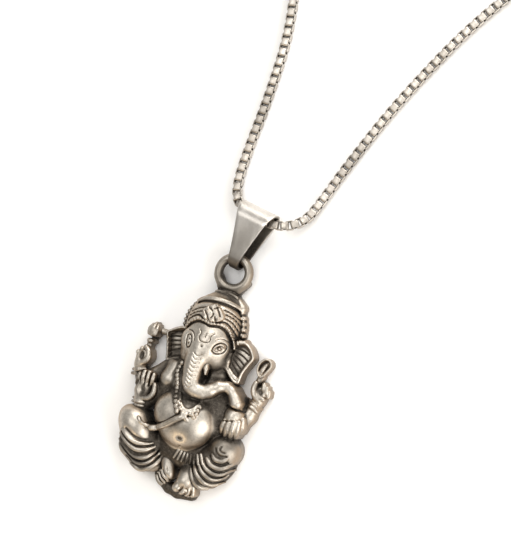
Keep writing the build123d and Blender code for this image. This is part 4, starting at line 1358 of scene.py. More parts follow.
    def build(self) -> Object:
        """Makes the casting's mesh and dresses it.

        Returns:
            The piece.
        """
        clay = self.sculpt()
        corners, faces = clay.skin()
        piece = mesh_piece(self.name, corners * MM, faces, smooth=True)
        slim = piece.modifiers.new("slim", "DECIMATE")
        slim.ratio = min(1.0, self.most_faces / len(faces))
        apply_modifiers(piece)
        places = mesh_corners(piece) / MM
        # The patches of painted shade and light and the darkening low down also go into the hollow
        # measure, so the oxide mask darkens them as painted shade, and a patch with a negative
        # amount lightens it as painted light.
        shade_and_dirt = self.paint_shade_and_dirt(places)
        add_values(piece, "hollow", np.clip(self.hollows(clay, places) + shade_and_dirt, 0.0, 1.0))
        add_values(piece, "shade_and_dirt", np.clip(self.shade_and_dirt_strength * shade_and_dirt, 0.0, 1.0))
        # Painted shade: surfaces whose normals lean away from the front, the side walls, are marked
        # here and painted a darker tan.
        lean = np.empty(3 * len(piece.data.vertices), dtype=np.float32)
        piece.data.vertex_normals.foreach_get("vector", lean)
        add_values(piece, "shaded_flank", np.clip((self.flank_from - lean[2::3]) / self.flank_run, 0, 1))
        rubbed = np.zeros(len(places))
        for x, y, reach in self.rubbed:
            away = np.hypot(places[:, 0] - x, places[:, 1] - y)
            rubbed = np.maximum(rubbed, np.clip((reach - away) / self.rubbed_edge, 0.0, 1.0))
        add_values(piece, "rubbed", rubbed)
        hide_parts("figure")
        return piece


def circle(x: float, y: float, radius: float) -> list[Point2]:
    """Lists points round a circle, the first one again at the end."""
    turns = np.linspace(0.0, 2 * math.pi, 13)
    return [(x + radius * math.cos(t), y + radius * math.sin(t)) for t in turns]


def blurred(values: Array, reach: int) -> Array:
    """Blurs a grid with a box run twice along each axis.

    Args:
        values: The grid.
        reach: The box's half-width in cells.

    Returns:
        The blurred grid.
    """
    reach = max(reach, 1)
    width = 2 * reach + 1
    result = values.astype(np.float32)
    for axis in (0, 1, 2, 0, 1, 2):
        pads = [(0, 0)] * 3
        pads[axis] = (reach + 1, reach)
        total = np.cumsum(np.pad(result, pads, mode="edge"), axis=axis, dtype=np.float64)
        count = result.shape[axis]
        upper = np.take(total, range(width, width + count), axis=axis)
        lower = np.take(total, range(count), axis=axis)
        result = ((upper - lower) / width).astype(np.float32)
    return result


def sample(grid: Array, clay: Clay, points: Array) -> Array:
    """Reads a grid between its cells.

    Args:
        grid: The grid, on the clay's cells.
        clay: The clay that sets the cells' places.
        points: The places, in millimetres.

    Returns:
        The value at each place.
    """
    spot = (points - np.array(clay.low)) / clay.cell
    limit = np.array(grid.shape) - 1
    spot = np.clip(spot, 0, limit)
    base = np.floor(spot).astype(int)
    part = spot - base
    total = np.zeros(len(points))
    for dx in (0, 1):
        for dy in (0, 1):
            for dz in (0, 1):
                weight = (np.abs(1 - dx - part[:, 0]) * np.abs(1 - dy - part[:, 1])
                          * np.abs(1 - dz - part[:, 2]))
                at = np.minimum(base + np.array([dx, dy, dz]), limit)
                total += weight * grid[at[:, 0], at[:, 1], at[:, 2]]
    return total


def mesh_piece(name: str, corners: Array, faces: Array, smooth: bool) -> Object:
    """Makes a mesh object from corners and faces.

    Args:
        name: The piece's name.
        corners: One corner in each row, in metres.
        faces: One face in each row, as corner numbers.
        smooth: Whether the faces are shaded smooth.

    Returns:
        The object, linked to the scene.
    """
    mesh = bpy.data.meshes.new(name)
    mesh.vertices.add(len(corners))
    mesh.vertices.foreach_set("co", np.asarray(corners, dtype=np.float32).ravel())
    sides = faces.shape[1]
    mesh.loops.add(faces.size)
    mesh.loops.foreach_set("vertex_index", np.asarray(faces, dtype=np.int32).ravel())
    mesh.polygons.add(len(faces))
    mesh.polygons.foreach_set("loop_start", np.arange(0, faces.size, sides, dtype=np.int32))
    mesh.polygons.foreach_set("use_smooth", np.full(len(faces), smooth))
    mesh.update(calc_edges=True)
    mesh.validate()
    piece = bpy.data.objects.new(name, mesh)
    bpy.context.scene.collection.objects.link(piece)
    return piece


def mesh_corners(piece: Object) -> Array:
    """Reads a mesh's corners, in metres."""
    flat = np.empty(3 * len(piece.data.vertices), dtype=np.float32)
    piece.data.vertices.foreach_get("co", flat)
    return flat.reshape(-1, 3).astype(np.float64)


def add_values(piece: Object, name: str, values: Array) -> None:
    """Keeps one value for each corner of a mesh, for its material to read."""
    layer = piece.data.attributes.new(name, "FLOAT", "POINT")
    layer.data.foreach_set("value", np.asarray(values, dtype=np.float32))


def apply_modifiers(piece: Object) -> None:
    """Replaces a piece's mesh by the result of its modifiers."""
    graph = bpy.context.evaluated_depsgraph_get()
    made = bpy.data.meshes.new_from_object(piece.evaluated_get(graph), depsgraph=graph)
    old = piece.data
    piece.modifiers.clear()
    piece.data = made
    bpy.data.meshes.remove(old)


def unit(vector: Array) -> Array:
    """Scales a vector to length one."""
    return vector / np.linalg.norm(vector)


@dataclass
class Bail:
    """The tapered bail: a strip of sheet bent into a loop through the pendant's ring."""

    name: str = "bail_sheet"
    tip: Point3 = (0.08, 20.07, 0.104)
    swing_deg: float = 9.2
    roll_deg: float = 8.0
    pitch_deg: float = 1.9
    length: float = 10.3
    foot_radius: float = 1.92
    top_radius: float = 2.3
    sheet: float = 0.45
    foot_half: float = 0.75
    middle_half: float = 1.775
    top_half: float = 3.2
    rim: float = 0.13
    most_taper: float = 0.2
    # Painted shade near the foot, where the ring shades the bail: how far from the foot it reaches
    # and how strong it is.
    foot_shade_reach: float = 6.5
    foot_shade: float = 1.3
    tone: float = 0.12
    oxide_and_shade_tone: float = 0.68
    rows: int = 168
    columns: int = 12

    def axes(self) -> tuple[Array, Array, Array]:
        """Works out the bail's own directions.

        Returns:
            The directions along it, across it and out of its face.
        """
        swing, roll, pitch = (
            math.radians(a) for a in (self.swing_deg, self.roll_deg, self.pitch_deg)
        )
        along = np.array([math.sin(swing) * math.cos(pitch), math.cos(swing) * math.cos(pitch),
                          math.sin(pitch)])
        level = unit(np.cross(along, [0.0, 0.0, 1.0]))
        across = level * math.cos(roll) - np.cross(along, level) * math.sin(roll)
        return along, across, np.cross(across, along)

    def half_width(self, reach: float) -> float:
        """Works out the strip's half-width.

        Args:
            reach: The distance from the foot.

        Returns:
            The half-width in millimetres.
        """
        sag = (self.foot_half + self.top_half) / 2 - self.middle_half
        share = min(max(reach / self.length, 0.0), 1.0)
        straight = self.foot_half + share * (self.top_half - self.foot_half)
        return straight - sag * 4 * share * (1 - share)

    def loop(self) -> tuple[Array, Array]:
        """Draws the loop's outer side.

        Returns:
            The samples, along the bail and up from its back, and their outward directions.
        """
        low, high, top_at = self.foot_radius, self.top_radius, self.length - self.top_radius
        leaving = math.pi / 2 + math.asin((high - low) / (top_at - low))
        ends = []
        for centre, radius, start, stop in ((top_at, high, -math.pi / 2, leaving),
                                            (low, low, leaving, 1.5 * math.pi)):
            turn = np.linspace(start, stop, self.rows // 3)
            out = np.column_stack([np.cos(turn), np.sin(turn)])
            ends.append((np.array([centre, radius]) + radius * out, out))
        (top, top_out), (foot, foot_out) = ends
        count = self.rows // 6
        share = np.linspace(0, 1, count + 2)[1:-1, None]
        face = top[-1] * (1 - share) + foot[0] * share
        back = foot[-1] * (1 - share) + top[0] * share
        face_out = np.repeat(top_out[-1:], count, axis=0)
        back_out = np.repeat([[0.0, -1.0]], count, axis=0)
        return (np.vstack([top, face, foot, back]),
                np.vstack([top_out, face_out, foot_out, back_out]))

    def section(self, half: float) -> Array:
        """Draws the strip's section.

        Args:
            half: The strip's half-width.

        Returns:
            Rows of the place across and the depth below the outer side.
        """
        rows: list[Point2] = []
        for cross, deep, start in ((half, 0.0, 90), (half, self.sheet, 0),
                                   (-half, self.sheet, -90), (-half, 0.0, 180)):
            middle = cross - math.copysign(self.rim, cross)
            depth = deep + (self.rim if deep == 0.0 else -self.rim)
            for turn in np.linspace(start, start - 90, 5):
                angle = math.radians(turn)
                rows.append((middle + self.rim * math.cos(angle),
                             depth - self.rim * math.sin(angle)))
            if start in (0, 180):
                for share in np.linspace(0, 1, self.columns + 2)[1:-1]:
                    rows.append((middle + share * (-middle - middle), deep))
        return np.array(rows)

    def build(self) -> Object:
        """Makes the bail's mesh.

        Returns:
            The piece.
        """
        along, across, outward = self.axes()
        rings, hollow = [], []
        for (reach, height), (run, rise) in zip(*self.loop()):
            half = self.half_width(reach)
            taper = self.half_width(reach - self.sheet * run) - half
            inner = half + min(max(taper, -self.most_taper), self.most_taper)
            section = self.section(half)
            depth = section[:, 1:2]
            side = section[:, :1] * (1 + depth / self.sheet * (inner / half - 1))
            rings.append(np.array(self.tip) + (reach - depth * run) * along + side * across
                         + (height - depth * rise) * outward)
            # The inner face takes oxide, and painted shade is added near the foot, so the oxide
            # mask and the colour darken there.
            near = min(max((self.foot_shade_reach - reach) / self.foot_shade_reach, 0.0), 1.0)
            hollow.append(np.clip(section[:, 1] / self.sheet, 0, 1) + self.foot_shade * near)
        faces = ring_faces(len(rings), len(rings[0]), closed=True)
        piece = mesh_piece(self.name, np.vstack(rings) * MM, faces, smooth=True)
        add_values(piece, "hollow", np.concatenate(hollow))
        add_values(piece, "shade_and_dirt", self.tone + self.oxide_and_shade_tone * np.concatenate(hollow))
        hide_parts("bail")
        return piece


def ring_faces(count: int, sides: int, closed: bool) -> Array:
    """Joins rings of corners into faces.

    Args:
        count: The number of rings.
        sides: The number of corners in each.
        closed: Whether the last ring joins the first.

    Returns:
        The faces.
    """
    i = np.arange(count if closed else count - 1)[:, None]
    j = np.arange(sides)[None, :]
    nxt, side = (i + 1) % count, (j + 1) % sides
    return np.stack([i * sides + j, i * sides + side, nxt * sides + side, nxt * sides + j],
                    axis=-1).reshape(-1, 4)


@dataclass
class BoxLink:
    """One link of the box chain: a band bent into a rounded square."""

    length: float = 1.3
    width: float = 1.46
    band: float = 1.04
    sheet: float = 0.2
    corner: float = 0.3
    rim: float = 0.06
    bevel: float = 0.29

    def mesh(self) -> tuple[Array, Array, Array]:
        """Makes one link about the origin: X along the chain, Y across its loop, Z along its band.

        Returns:
            The corners, the faces, and how hidden each corner is.
        """
        spine: list[tuple[float, float, float, float]] = []
        a, b = self.length / 2 - self.corner, self.width / 2 - self.corner
        for cx, cy, start in ((a, b, 0), (-a, b, 90), (-a, -b, 180), (a, -b, 270)):
            for turn in np.linspace(start, start + 90, 5):
                angle = math.radians(turn)
                out_x, out_y = math.cos(angle), math.sin(angle)
                spine.append((cx + self.corner * out_x, cy + self.corner * out_y, out_x, out_y))
        half, rim, bevel = self.band / 2, self.rim, self.bevel * self.rim
        upper = [(0.0, half - rim), (bevel, half - bevel), (rim, half)]
        upper += [(self.sheet - deep, along) for deep, along in reversed(upper)]
        section = upper + [(deep, -along) for deep, along in reversed(upper)]
        corners, hidden = [], []
        for x, y, out_x, out_y in spine:
            for deep, along in section:
                corners.append((x - deep * out_x, y - deep * out_y, along))
                hidden.append(min(1.0, deep / self.sheet))
        faces = ring_faces(len(spine), len(section), closed=True)
        return np.array(corners), faces, np.array(hidden)


@dataclass
class BoxChain:
    """A strand of box chain along its route, from the bail to the clasp."""

    name: str
    node: str
    route: list[Point3]
    side: int
    crossing: Point3 = (1.23168, 28.5493, 1.94553)
    clasp_centre: Point3 = CLASP_CENTRE
    socket: float = 3.0
    approach: float = 8.0
    half_width: float = 0.75
    pitch: float = 0.79
    end_room: float = 0.55
    look: float = 0.4
    tone: float = 0.1
    tone_swing: float = 0.1
    tone_pace: float = 0.37
    tarnished_at: float = 19.0
    tarnished_run: float = 3.2
    tarnish: float = 0.5
    link: BoxLink = field(default_factory=BoxLink)

    def control_points(self) -> list[Vector]:
        """Lists the route's points, in metres."""
        crossing = Vector(self.crossing)
        middle = [
            Vector((crossing.x + x, crossing.y + y, share * self.half_width))
            for x, y, share in self.route
        ]
        start = crossing + (middle[0] - crossing).normalized() * 0.05
        end = Vector(self.clasp_centre) + Vector((self.side * self.socket, 0, 0))
        points = [start] + middle + [end + Vector((self.side * self.approach, 0, 0)), end]
        return [p * MM for p in points]

    def centre_line(self) -> Array:
        """Reads the strand's middle line from its NURBS spline, in millimetres."""
        curve = bpy.data.curves.new(self.name + "_route", "CURVE")
        curve.dimensions = "3D"
        points = self.control_points()
        spline = curve.splines.new("NURBS")
        spline.points.add(len(points) - 1)
        for knot, point in zip(spline.points, points):
            knot.co = (*point, 1.0)
        spline.order_u = 3
        spline.use_endpoint_u = True
        spline.resolution_u = 48
        holder = bpy.data.objects.new(curve.name, curve)
        bpy.context.scene.collection.objects.link(holder)
        bpy.context.view_layer.update()
        graph = bpy.context.evaluated_depsgraph_get()
        line = bpy.data.meshes.new_from_object(holder.evaluated_get(graph), depsgraph=graph)
        rows = np.array([v.co[:] for v in line.vertices]) / MM
        bpy.data.objects.remove(holder)
        bpy.data.curves.remove(curve)
        bpy.data.meshes.remove(line)
        return rows

    def build(self) -> Object:
        """Threads the links along the strand.

        Returns:
            The piece.
        """
        line = self.centre_line()
        away = distances_along(line)

        def spot(at: float) -> Array:
            """Finds the place at a distance along the strand."""
            return np.array([np.interp(at, away, line[:, i]) for i in range(3)])

        start = self.pitch * 0.5
        count = int((away[-1] - start - self.end_room) / self.pitch) + 1
        corners, faces, hidden = self.link.mesh()
        stack, joined, shade_and_dirt = [], [], []
        for k in range(count):
            at = start + k * self.pitch
            run = unit(spot(at + self.look) - spot(at - self.look))
            flat = unit(np.cross(run, [0.0, 0.0, 1.0]))
            rise = np.cross(flat, run)
            turned = (k + (self.side > 0)) % 2
            across, along = (flat, rise) if turned else (rise, flat)
            stack.append(spot(at) + corners[:, :1] * run + corners[:, 1:2] * across
                         + corners[:, 2:] * along)
            joined.append((faces if turned else faces[:, ::-1]) + k * len(corners))
            far = abs(at - self.tarnished_at) / self.tarnished_run
            shade = (self.tarnish * math.exp(-far ** 2) + self.tone
                     + self.tone_swing * math.sin(self.tone_pace * at))
            shade_and_dirt.append(np.full(len(corners), shade))
        piece = mesh_piece(self.name, np.vstack(stack) * MM, np.vstack(joined), smooth=True)
        add_values(piece, "hollow", np.tile(hidden, count))
        add_values(piece, "shade_and_dirt", np.concatenate(shade_and_dirt))
        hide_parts(self.node)
        return piece


@dataclass
class Clasp:
    """The plain barrel clasp at the far end of the chain."""

    name: str = "clasp_barrel"
    centre: Point3 = CLASP_CENTRE
    length: float = 9.0
    radius: float = 1.5
    edge: float = 0.6
    mouth: float = 0.85
    socket: float = 1.6
    bevel: float = 0.08
    lip: Point2 = (0.1, 0.06)
    groove_shares: Point2 = (0.62, 0.5)
    groove: Line = ((0.14, 0.0), (0.07, 0.07), (0.0, 0.1), (-0.07, 0.07), (-0.14, 0.0))
    sides: int = 64
    mouth_rows: int = 5
    mouth_oxide: float = 0.9
    body_oxide: float = 0.2

    def profile(self) -> list[Point2]:
        """Draws half of the barrel, from one mouth to its middle.

        Returns:
            Rows of the place along the axis and the distance from it.
        """
        end, floor = self.length / 2, self.length / 2 - self.socket
        rows: list[Point2] = [(floor, 0.0), (floor, self.mouth * 0.5),
                              (floor, self.mouth - self.bevel), (floor + self.bevel, self.mouth),
                              (end - self.lip[0], self.mouth), (end, self.mouth + self.lip[1])]
        for turn in np.linspace(0, 90, 9):
            angle = math.radians(turn)
            rows.append((end - self.edge + self.edge * math.cos(angle),
                         self.radius - self.edge + self.edge * math.sin(angle)))
        for share in self.groove_shares:
            rows += [(end * share + shift, self.radius - deep) for shift, deep in self.groove]
        rows.append((0.0, self.radius))
        return rows

    def build(self) -> Object:
        """Makes the barrel's mesh by turning its profile about its axis.

        Returns:
            The piece.
        """
        near = self.profile()
        rows = near + [(-x, r) for x, r in reversed(near[:-1])]
        turn = np.linspace(0, 2 * math.pi, self.sides, endpoint=False)
        rings, hidden = [], []
        for i, (x, r) in enumerate(rows):
            r = max(r, 0.002)
            rings.append(np.column_stack([np.full(self.sides, self.centre[0] + x),
                                          self.centre[1] + r * np.cos(turn),
                                          self.centre[2] + r * np.sin(turn)]))
            inside = min(i, len(rows) - 1 - i) < self.mouth_rows
            hidden.append(np.full(self.sides, self.mouth_oxide if inside else self.body_oxide))
        faces = ring_faces(len(rings), self.sides, closed=False)
        piece = mesh_piece(self.name, np.vstack(rings) * MM, faces, smooth=True)
        add_values(piece, "hollow", np.concatenate(hidden))
        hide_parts("clasp")
        return piece


class Bench:
    """Places and links shader nodes in one tree."""

    def __init__(self, tree: NodeTree) -> None:
        """Keeps the tree to work on."""
        self.tree = tree

    def add(self, kind: str, values: dict | None = None, **settings: object) -> Node:
        """Adds a node.

        Args:
            kind: The node's type.
            values: Its inputs, each a number, a colour or another node's socket.
            settings: Its own settings.

        Returns:
            The node.
        """
        node = self.tree.nodes.new(kind)
        for key, value in settings.items():
            setattr(node, key, value)
        for key, value in (values or {}).items():
            if isinstance(value, NodeSocket):
                self.tree.links.new(value, node.inputs[key])
            else:
                node.inputs[key].default_value = value
        return node

    def painted(self, name: str) -> NodeSocket:
        """Adds a node that reads a value kept at the mesh's corners, and returns the value."""
        return self.add("ShaderNodeAttribute", attribute_name=name).outputs["Fac"]

    def math(self, operation: str, a: object, b: object = 0.0, clamp: bool = False) -> NodeSocket:
        """Adds a Math node and returns its result."""
        node = self.add("ShaderNodeMath", {0: a, 1: b}, operation=operation, use_clamp=clamp)
        return node.outputs[0]

    def span(self, value: object, low: float, high: float, to_low: float = 0.0,
             to_high: float = 1.0) -> NodeSocket:
        """Adds a smooth Map Range node and returns its result."""
        node = self.add("ShaderNodeMapRange", {"Value": value, "From Min": low, "From Max": high,
                                               "To Min": to_low, "To Max": to_high},
                        interpolation_type="SMOOTHSTEP")
        return node.outputs["Result"]

    def mix(self, share: object, a: object, b: object) -> NodeSocket:
        """Adds a colour mix and returns its result."""
        node = self.add("ShaderNodeMix", data_type="RGBA")
        for socket, value in zip((node.inputs[0], node.inputs[6], node.inputs[7]), (share, a, b)):
            if isinstance(value, NodeSocket):
                self.tree.links.new(value, socket)
            else:
                socket.default_value = value
        return node.outputs[2]


def shaded(colour: Colour, share: float = 1.0) -> tuple[float, ...]:
    """Scales a colour and gives it full alpha, for a shader's socket."""
    return (*[share * part for part in colour], 1.0)


def new_group(name: str, inputs: dict[str, float], outputs: Sequence[str]
              ) -> tuple[NodeTree, Bench, Node, Node]:
    """Starts a shader node group with named number sockets.

    Args:
        name: The group's name.
        inputs: Its inputs and their usual values.
        outputs: Its outputs.

    Returns:
        The group, a bench on it, and its input and output nodes.
    """
    group = bpy.data.node_groups.new(name, "ShaderNodeTree")
    for label, value in inputs.items():
        socket = group.interface.new_socket(label, in_out="INPUT", socket_type="NodeSocketFloat")
        socket.default_value = value
    for label in outputs:
        group.interface.new_socket(label, in_out="OUTPUT", socket_type="NodeSocketFloat")
    bench = Bench(group)
    return group, bench, bench.add("NodeGroupInput"), bench.add("NodeGroupOutput")


def tarnish_group() -> NodeTree:
    """Builds the mask of dark oxide: deep in the hollows, patchy at its edge, gone on crests."""
    group, bench, given, result = new_group(
        "tarnish", {"Hollow": 0.5, "Start": 0.5, "End": 0.7, "Patchiness": 0.1,
                    "Patch Scale": 900.0}, ["Mask", "Shade"])
    place = bench.add("ShaderNodeTexCoord").outputs["Object"]
    patch = bench.add("ShaderNodeTexNoise", {"Vector": place, "Detail": 5.0, "Roughness": 0.6,
                                             "Scale": given.outputs["Patch Scale"]})
    stir = bench.math("MULTIPLY", bench.math("SUBTRACT", patch.outputs["Fac"], 0.5),
                      given.outputs["Patchiness"])
    level = bench.math("ADD", given.outputs["Hollow"], stir)
    ramp = bench.add("ShaderNodeMapRange", {"Value": level, "From Min": given.outputs["Start"],
                                            "From Max": given.outputs["End"]},
                     interpolation_type="SMOOTHSTEP")
    wide = bench.add("ShaderNodeTexNoise", {"Vector": place, "Scale": 260.0, "Detail": 3.0})
    bench.tree.links.new(ramp.outputs["Result"], result.inputs["Mask"])
    bench.tree.links.new(bench.span(wide.outputs["Fac"], 0.35, 0.65), result.inputs["Shade"])
    return group


def handling_group() -> NodeTree:
    """Builds the fine marks of polishing and wear: hair scratches, grain and tiny dents."""
    group, bench, given, result = new_group(
        "handling_marks", {"Scratch Scale": 1200.0, "Stretch": 14.0, "Grain Scale": 9000.0,
                           "Scratch Share": 0.5}, ["Height", "Dulling", "Specks"])
    place = bench.add("ShaderNodeTexCoord").outputs["Object"]
    parts = bench.add("ShaderNodeSeparateXYZ", {0: place})
    long_y = bench.math("DIVIDE", parts.outputs["Y"], given.outputs["Stretch"])
    drawn = bench.add("ShaderNodeCombineXYZ", {"X": parts.outputs["X"], "Y": long_y,
                                               "Z": parts.outputs["Z"]})
    hairs = bench.add("ShaderNodeTexNoise", {"Vector": drawn.outputs[0], "Detail": 6.0,
                                             "Scale": given.outputs["Scratch Scale"],
                                             "Roughness": 0.7})
    grain = bench.add("ShaderNodeTexNoise", {"Vector": place, "Detail": 3.0,
                                             "Scale": given.outputs["Grain Scale"]})
    share = given.outputs["Scratch Share"]
    lines = bench.math("MULTIPLY", hairs.outputs["Fac"], share)
    rest = bench.math("MULTIPLY", grain.outputs["Fac"], bench.math("SUBTRACT", 1.0, share))
    bench.tree.links.new(bench.math("ADD", lines, rest), result.inputs["Height"])
    bench.tree.links.new(bench.span(hairs.outputs["Fac"], 0.3, 0.75), result.inputs["Dulling"])
    specks = bench.add("ShaderNodeTexNoise", {"Vector": place, "Scale": 2600.0, "Detail": 4.0,
                                              "Roughness": 0.75})
    bench.tree.links.new(bench.span(specks.outputs["Fac"], 0.42, 0.7), result.inputs["Specks"])
    return group


@dataclass(frozen=True)
class SilverFinish:
    """A finish of silver: polished high places over dark oxide."""

    name: str
    bright: Colour = (0.585, 0.544, 0.484)
    worn: Colour = (0.4, 0.355, 0.3)
    oxide: Colour = (0.1, 0.087, 0.073)
    start: float = 0.51
    end: float = 0.76
    patchiness: float = 0.1
    smooth: float = 0.36
    dull: float = 0.5
    oxide_rough: float = 0.6
    relief: float = 0.15
    # Painted shade on the side walls: the tan that they are painted and how far it is mixed in.
    flank_shade_colour: Colour = (0.36, 0.26, 0.17)
    flank_shade_share: float = 0.9
    speckle: float = 0.42
    scratch_scale: float = 1200.0
    stretch: float = 14.0
    scratch_share: float = 0.5
    worn_share: float = 0.35
    # How far the shade-and-dirt mark darkens the colour, as painted shade in the figure's patches.
    shade_and_dirt_share: float = 0.8
    rubbed_gloss: float = 0.04
    bump_depth: float = 0.00004

    def colour(self, bench: Bench, oxide: Node, wear: Node) -> NodeSocket:
        """Mixes the colour, from bright metal through worn and dirty metal to dark oxide, with
        painted shade on the side walls and in the patches.

        Args:
            bench: The bench on the material's tree.
            oxide: The node of the tarnish group.
            wear: The node of the handling group.

        Returns:
            The colour's socket.
        """
        dirt_and_shade_colour = shaded(self.worn, 0.5)
        shade = bench.math("MULTIPLY", oxide.outputs["Shade"], self.worn_share)
        metal = bench.mix(shade, shaded(self.bright), shaded(self.worn))
        # Painted shade: the shaded side walls take the tan, and the shade-and-dirt mark darkens the
        # patches; the specks are fine grime.
        for mark, share, tone in (
            (bench.painted("shaded_flank"), self.flank_shade_share, shaded(self.flank_shade_colour)),
            (bench.painted("shade_and_dirt"), self.shade_and_dirt_share, dirt_and_shade_colour),
            (wear.outputs["Specks"], self.speckle, dirt_and_shade_colour),
        ):
            metal = bench.mix(bench.math("MULTIPLY", mark, share), metal, tone)
        mask = oxide.outputs["Mask"]
        half = bench.mix(bench.span(mask, 0.0, 0.6), metal, shaded(self.worn, 0.45))
        crust = bench.mix(wear.outputs["Specks"], shaded(self.oxide, 0.7), shaded(self.oxide, 1.5))
        return bench.mix(bench.span(mask, 0.35, 1.0), half, crust)

    def roughness(self, bench: Bench, oxide: Node, wear: Node) -> NodeSocket:
        """Mixes the roughness: scratches dull the metal, rubbing polishes it, oxide is matt.

        Args:
            bench: The bench on the material's tree.
            oxide: The node of the tarnish group.
            wear: The node of the handling group.

        Returns:
            The roughness's socket.
        """
        scratched = bench.span(wear.outputs["Dulling"], 0.0, 1.0, self.smooth, self.dull)
        polish = bench.math("MULTIPLY", bench.painted("rubbed"), self.rubbed_gloss)
        rough = bench.add("ShaderNodeMix", data_type="FLOAT")
        bench.tree.links.new(oxide.outputs["Mask"], rough.inputs[0])
        bench.tree.links.new(bench.math("SUBTRACT", scratched, polish), rough.inputs[2])
        rough.inputs[3].default_value = self.oxide_rough
        return rough.outputs[0]

    def material(self, tarnish: NodeTree, marks: NodeTree) -> Material:
        """Makes the material.

        Args:
            tarnish: The group that gives the oxide's mask.
            marks: The group that gives the handling marks.

        Returns:
            The material.
        """
        material = bpy.data.materials.new(self.name)
        material.use_nodes = True
        material.node_tree.nodes.clear()
        bench = Bench(material.node_tree)
        oxide = bench.add("ShaderNodeGroup", node_tree=tarnish)
        wear = bench.add("ShaderNodeGroup", node_tree=marks)
        bench.tree.links.new(bench.painted("hollow"), oxide.inputs["Hollow"])
        for node, label, value in (
            (oxide, "Start", self.start), (oxide, "End", self.end),
            (oxide, "Patchiness", self.patchiness), (wear, "Scratch Scale", self.scratch_scale),
            (wear, "Stretch", self.stretch), (wear, "Scratch Share", self.scratch_share),
        ):
            node.inputs[label].default_value = value
        bump = bench.add("ShaderNodeBump", {"Strength": self.relief, "Distance": self.bump_depth,
                                            "Height": wear.outputs["Height"]})
        shader = bench.add("ShaderNodeBsdfPrincipled", {
            "Base Color": self.colour(bench, oxide, wear),
            "Roughness": self.roughness(bench, oxide, wear), "Metallic": 1.0,
            "Normal": bump.outputs["Normal"]})
        bench.add("ShaderNodeOutputMaterial", {"Surface": shader.outputs[0]})
        return material


@dataclass(frozen=True)
class PaleFloor:
    """The plain pale surface that the pendant lies on."""

    colour: Colour = (0.95, 0.95, 0.95)
    half: float = 6.0
    centre: Point3 = (0.02, 0.1, -0.00002)
    rough: float = 0.8
    specular: float = 0.2

    def build(self) -> Object:
        """Makes the floor.

        Returns:
            The floor's object.
        """
        corners = np.array([(-1, -1, 0), (1, -1, 0), (1, 1, 0), (-1, 1, 0)]) * self.half
        corners = corners + np.array(self.centre)
        floor = mesh_piece("studio_floor", corners, np.array([[0, 1, 2, 3]]), smooth=False)
        material = bpy.data.materials.new("pale_floor")
        material.use_nodes = True
        shader = material.node_tree.nodes["Principled BSDF"]
        shader.inputs["Base Color"].default_value = shaded(self.colour)
        shader.inputs["Roughness"].default_value = self.rough
        shader.inputs["Specular IOR Level"].default_value = self.specular
        floor.data.materials.append(material)
        return floor


class SoftLight(NamedTuple):
    """A soft studio light: where it stands, its size, its power and its colour."""

    name: str
    place: Point3
    size: float
    power: float
    colour: Colour


@dataclass
class Studio:
    """The camera, the soft lights and the room's glow."""

    target: Point3 = (3.54, 19.48, 1.95)
    yaw_deg: float = 14.0
    roll_deg: float = 17.0
    distance: float = 300.0
    frame_height: float = 85.8
    clip: Point2 = (0.01, 20.0)
    ambient: Colour = (0.52, 0.51, 0.49)
    ambient_strength: float = 0.76
    exposure: float = 0.0
    lights: tuple[SoftLight, ...] = (
        SoftLight("top_softbox", (0.1, 0.58, 0.24), 0.5, 3.6, (1.0, 0.98, 0.95)),
        SoftLight("overhead_softbox", (-0.12, 0.12, 0.75), 0.5, 2.4, (1.0, 0.99, 0.97)),
        SoftLight("right_softbox", (0.5, -0.1, 0.24), 0.48, 2.7, (1.0, 0.97, 0.93)),
        SoftLight("warm_bounce", (-0.1, -0.5, 0.2), 0.35, 0.75, (1.0, 0.78, 0.52)),
    )

    def set_camera(self) -> None:
        """Places the camera at the photograph's angle."""
        yaw, roll = math.radians(self.yaw_deg), math.radians(self.roll_deg)
        toward = Vector((math.sin(yaw), 0.0, math.cos(yaw)))
        level = Vector((math.cos(yaw), 0.0, -math.sin(yaw)))
        upright = Vector((0.0, 1.0, 0.0))
        up = math.cos(roll) * upright - math.sin(roll) * level
        right = math.cos(roll) * level + math.sin(roll) * upright
        data = bpy.data.cameras.new("camera")
        data.lens = data.sensor_width * self.distance / self.frame_height
        data.clip_start, data.clip_end = self.clip
        camera = bpy.data.objects.new("camera", data)
        bpy.context.scene.collection.objects.link(camera)
        camera.rotation_mode = "QUATERNION"
        camera.rotation_quaternion = Matrix((right, up, toward)).transposed().to_quaternion()
        camera.location = (Vector(self.target) + toward * self.distance) * MM
        bpy.context.scene.camera = camera

    def set_lights(self) -> None:
        """Hangs the lights and sets the room's own glow."""
        for light in self.lights:
            data = bpy.data.lights.new(light.name, "AREA")
            data.shape = "DISK"
            data.size = light.size
            data.energy = light.power
            data.color = light.colour
            lamp = bpy.data.objects.new(light.name, data)
            bpy.context.scene.collection.objects.link(lamp)
            lamp.location = light.place
            lamp.rotation_mode = "QUATERNION"
            lamp.rotation_quaternion = (Vector(light.place) * -1).to_track_quat("-Z", "Y")
        world = bpy.data.worlds.new("studio_room")
        world.use_nodes = True
        glow = world.node_tree.nodes["Background"]
        glow.inputs["Color"].default_value = shaded(self.ambient)
        glow.inputs["Strength"].default_value = self.ambient_strength
        bpy.context.scene.world = world
        bpy.context.scene.view_settings.view_transform = "Standard"
        bpy.context.scene.view_settings.exposure = self.exposure


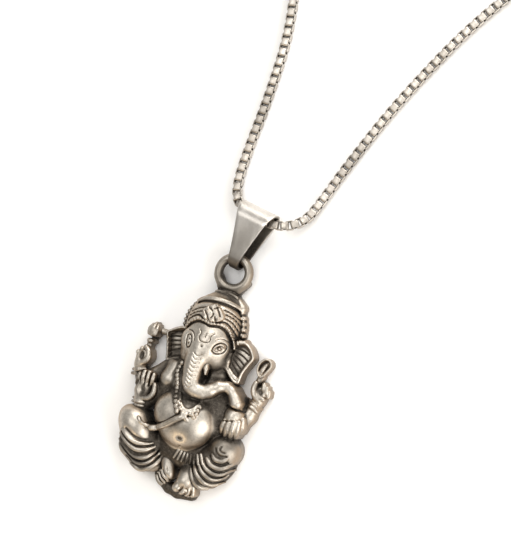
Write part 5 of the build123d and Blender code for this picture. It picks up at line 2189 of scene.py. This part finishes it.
ROUTE_LEFT: list[Point3] = [
    (-3.3, 0.6, 2.2), (-5.1, 3.3, 1.35), (-5.2, 8.9, 1.0), (-4.4, 18.8, 1.0), (-4.3, 31.5, 1.0),
    (-9.3, 52.0, 1.0), (-19.5, 75.5, 1.0), (-27.0, 103.0, 1.0), (-26.0, 131.5, 1.0),
    (-13.0, 159.5, 1.0), (6.0, 176.7, 1.0),
]
ROUTE_RIGHT: list[Point3] = [
    (3.3, -0.65, 3.4), (7.0, 1.3, 1.9), (8.6, 5.4, 1.15), (10.8, 11.8, 1.0), (15.7, 23.9, 1.0),
    (24.5, 40.5, 1.0), (39.5, 59.0, 1.0), (58.5, 80.5, 1.0), (73.0, 106.5, 1.0),
    (76.5, 135.5, 1.0), (65.0, 163.5, 1.0), (45.5, 177.7, 1.0),
]


def main() -> None:
    """Builds every piece, dresses it and lays it in the studio."""
    logging.basicConfig(level=logging.INFO, format="%(message)s")
    tarnish, marks = tarnish_group(), handling_group()
    cast = SilverFinish("oxidised_silver", smooth=0.42, dull=0.58)
    sheet = SilverFinish("bright_silver", speckle=0.08, start=0.6, end=1.6, smooth=0.28, dull=0.42,
                         bright=(0.74, 0.705, 0.66), relief=0.25, stretch=30.0, scratch_share=0.8)
    links = SilverFinish("chain_silver", speckle=0.2, start=0.2, end=1.1, smooth=0.36, dull=0.55,
                         bright=(0.56, 0.52, 0.47))
    dressed = (
        (Figure(), cast, Slot.FIGURE),
        (Bail(), sheet, Slot.BAIL),
        (BoxChain("chain_links_left", "chain_left", ROUTE_LEFT, -1), links, Slot.CHAIN),
        (BoxChain("chain_links_right", "chain_right", ROUTE_RIGHT, 1), links, Slot.CHAIN),
        (Clasp(), sheet, Slot.BAIL),
    )
    made: dict[str, Material] = {}
    for maker, finish, slot in dressed:
        piece = maker.build()
        if finish.name not in made:
            made[finish.name] = finish.material(tarnish, marks)
        piece.data.materials.clear()
        piece.data.materials.append(made[finish.name])
        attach(piece, "root")
        LOG.info("%s: %d faces", piece.name, len(piece.data.polygons))
    PaleFloor().build()
    studio = Studio()
    studio.set_camera()
    studio.set_lights()


if __name__ == "__main__":
    main()
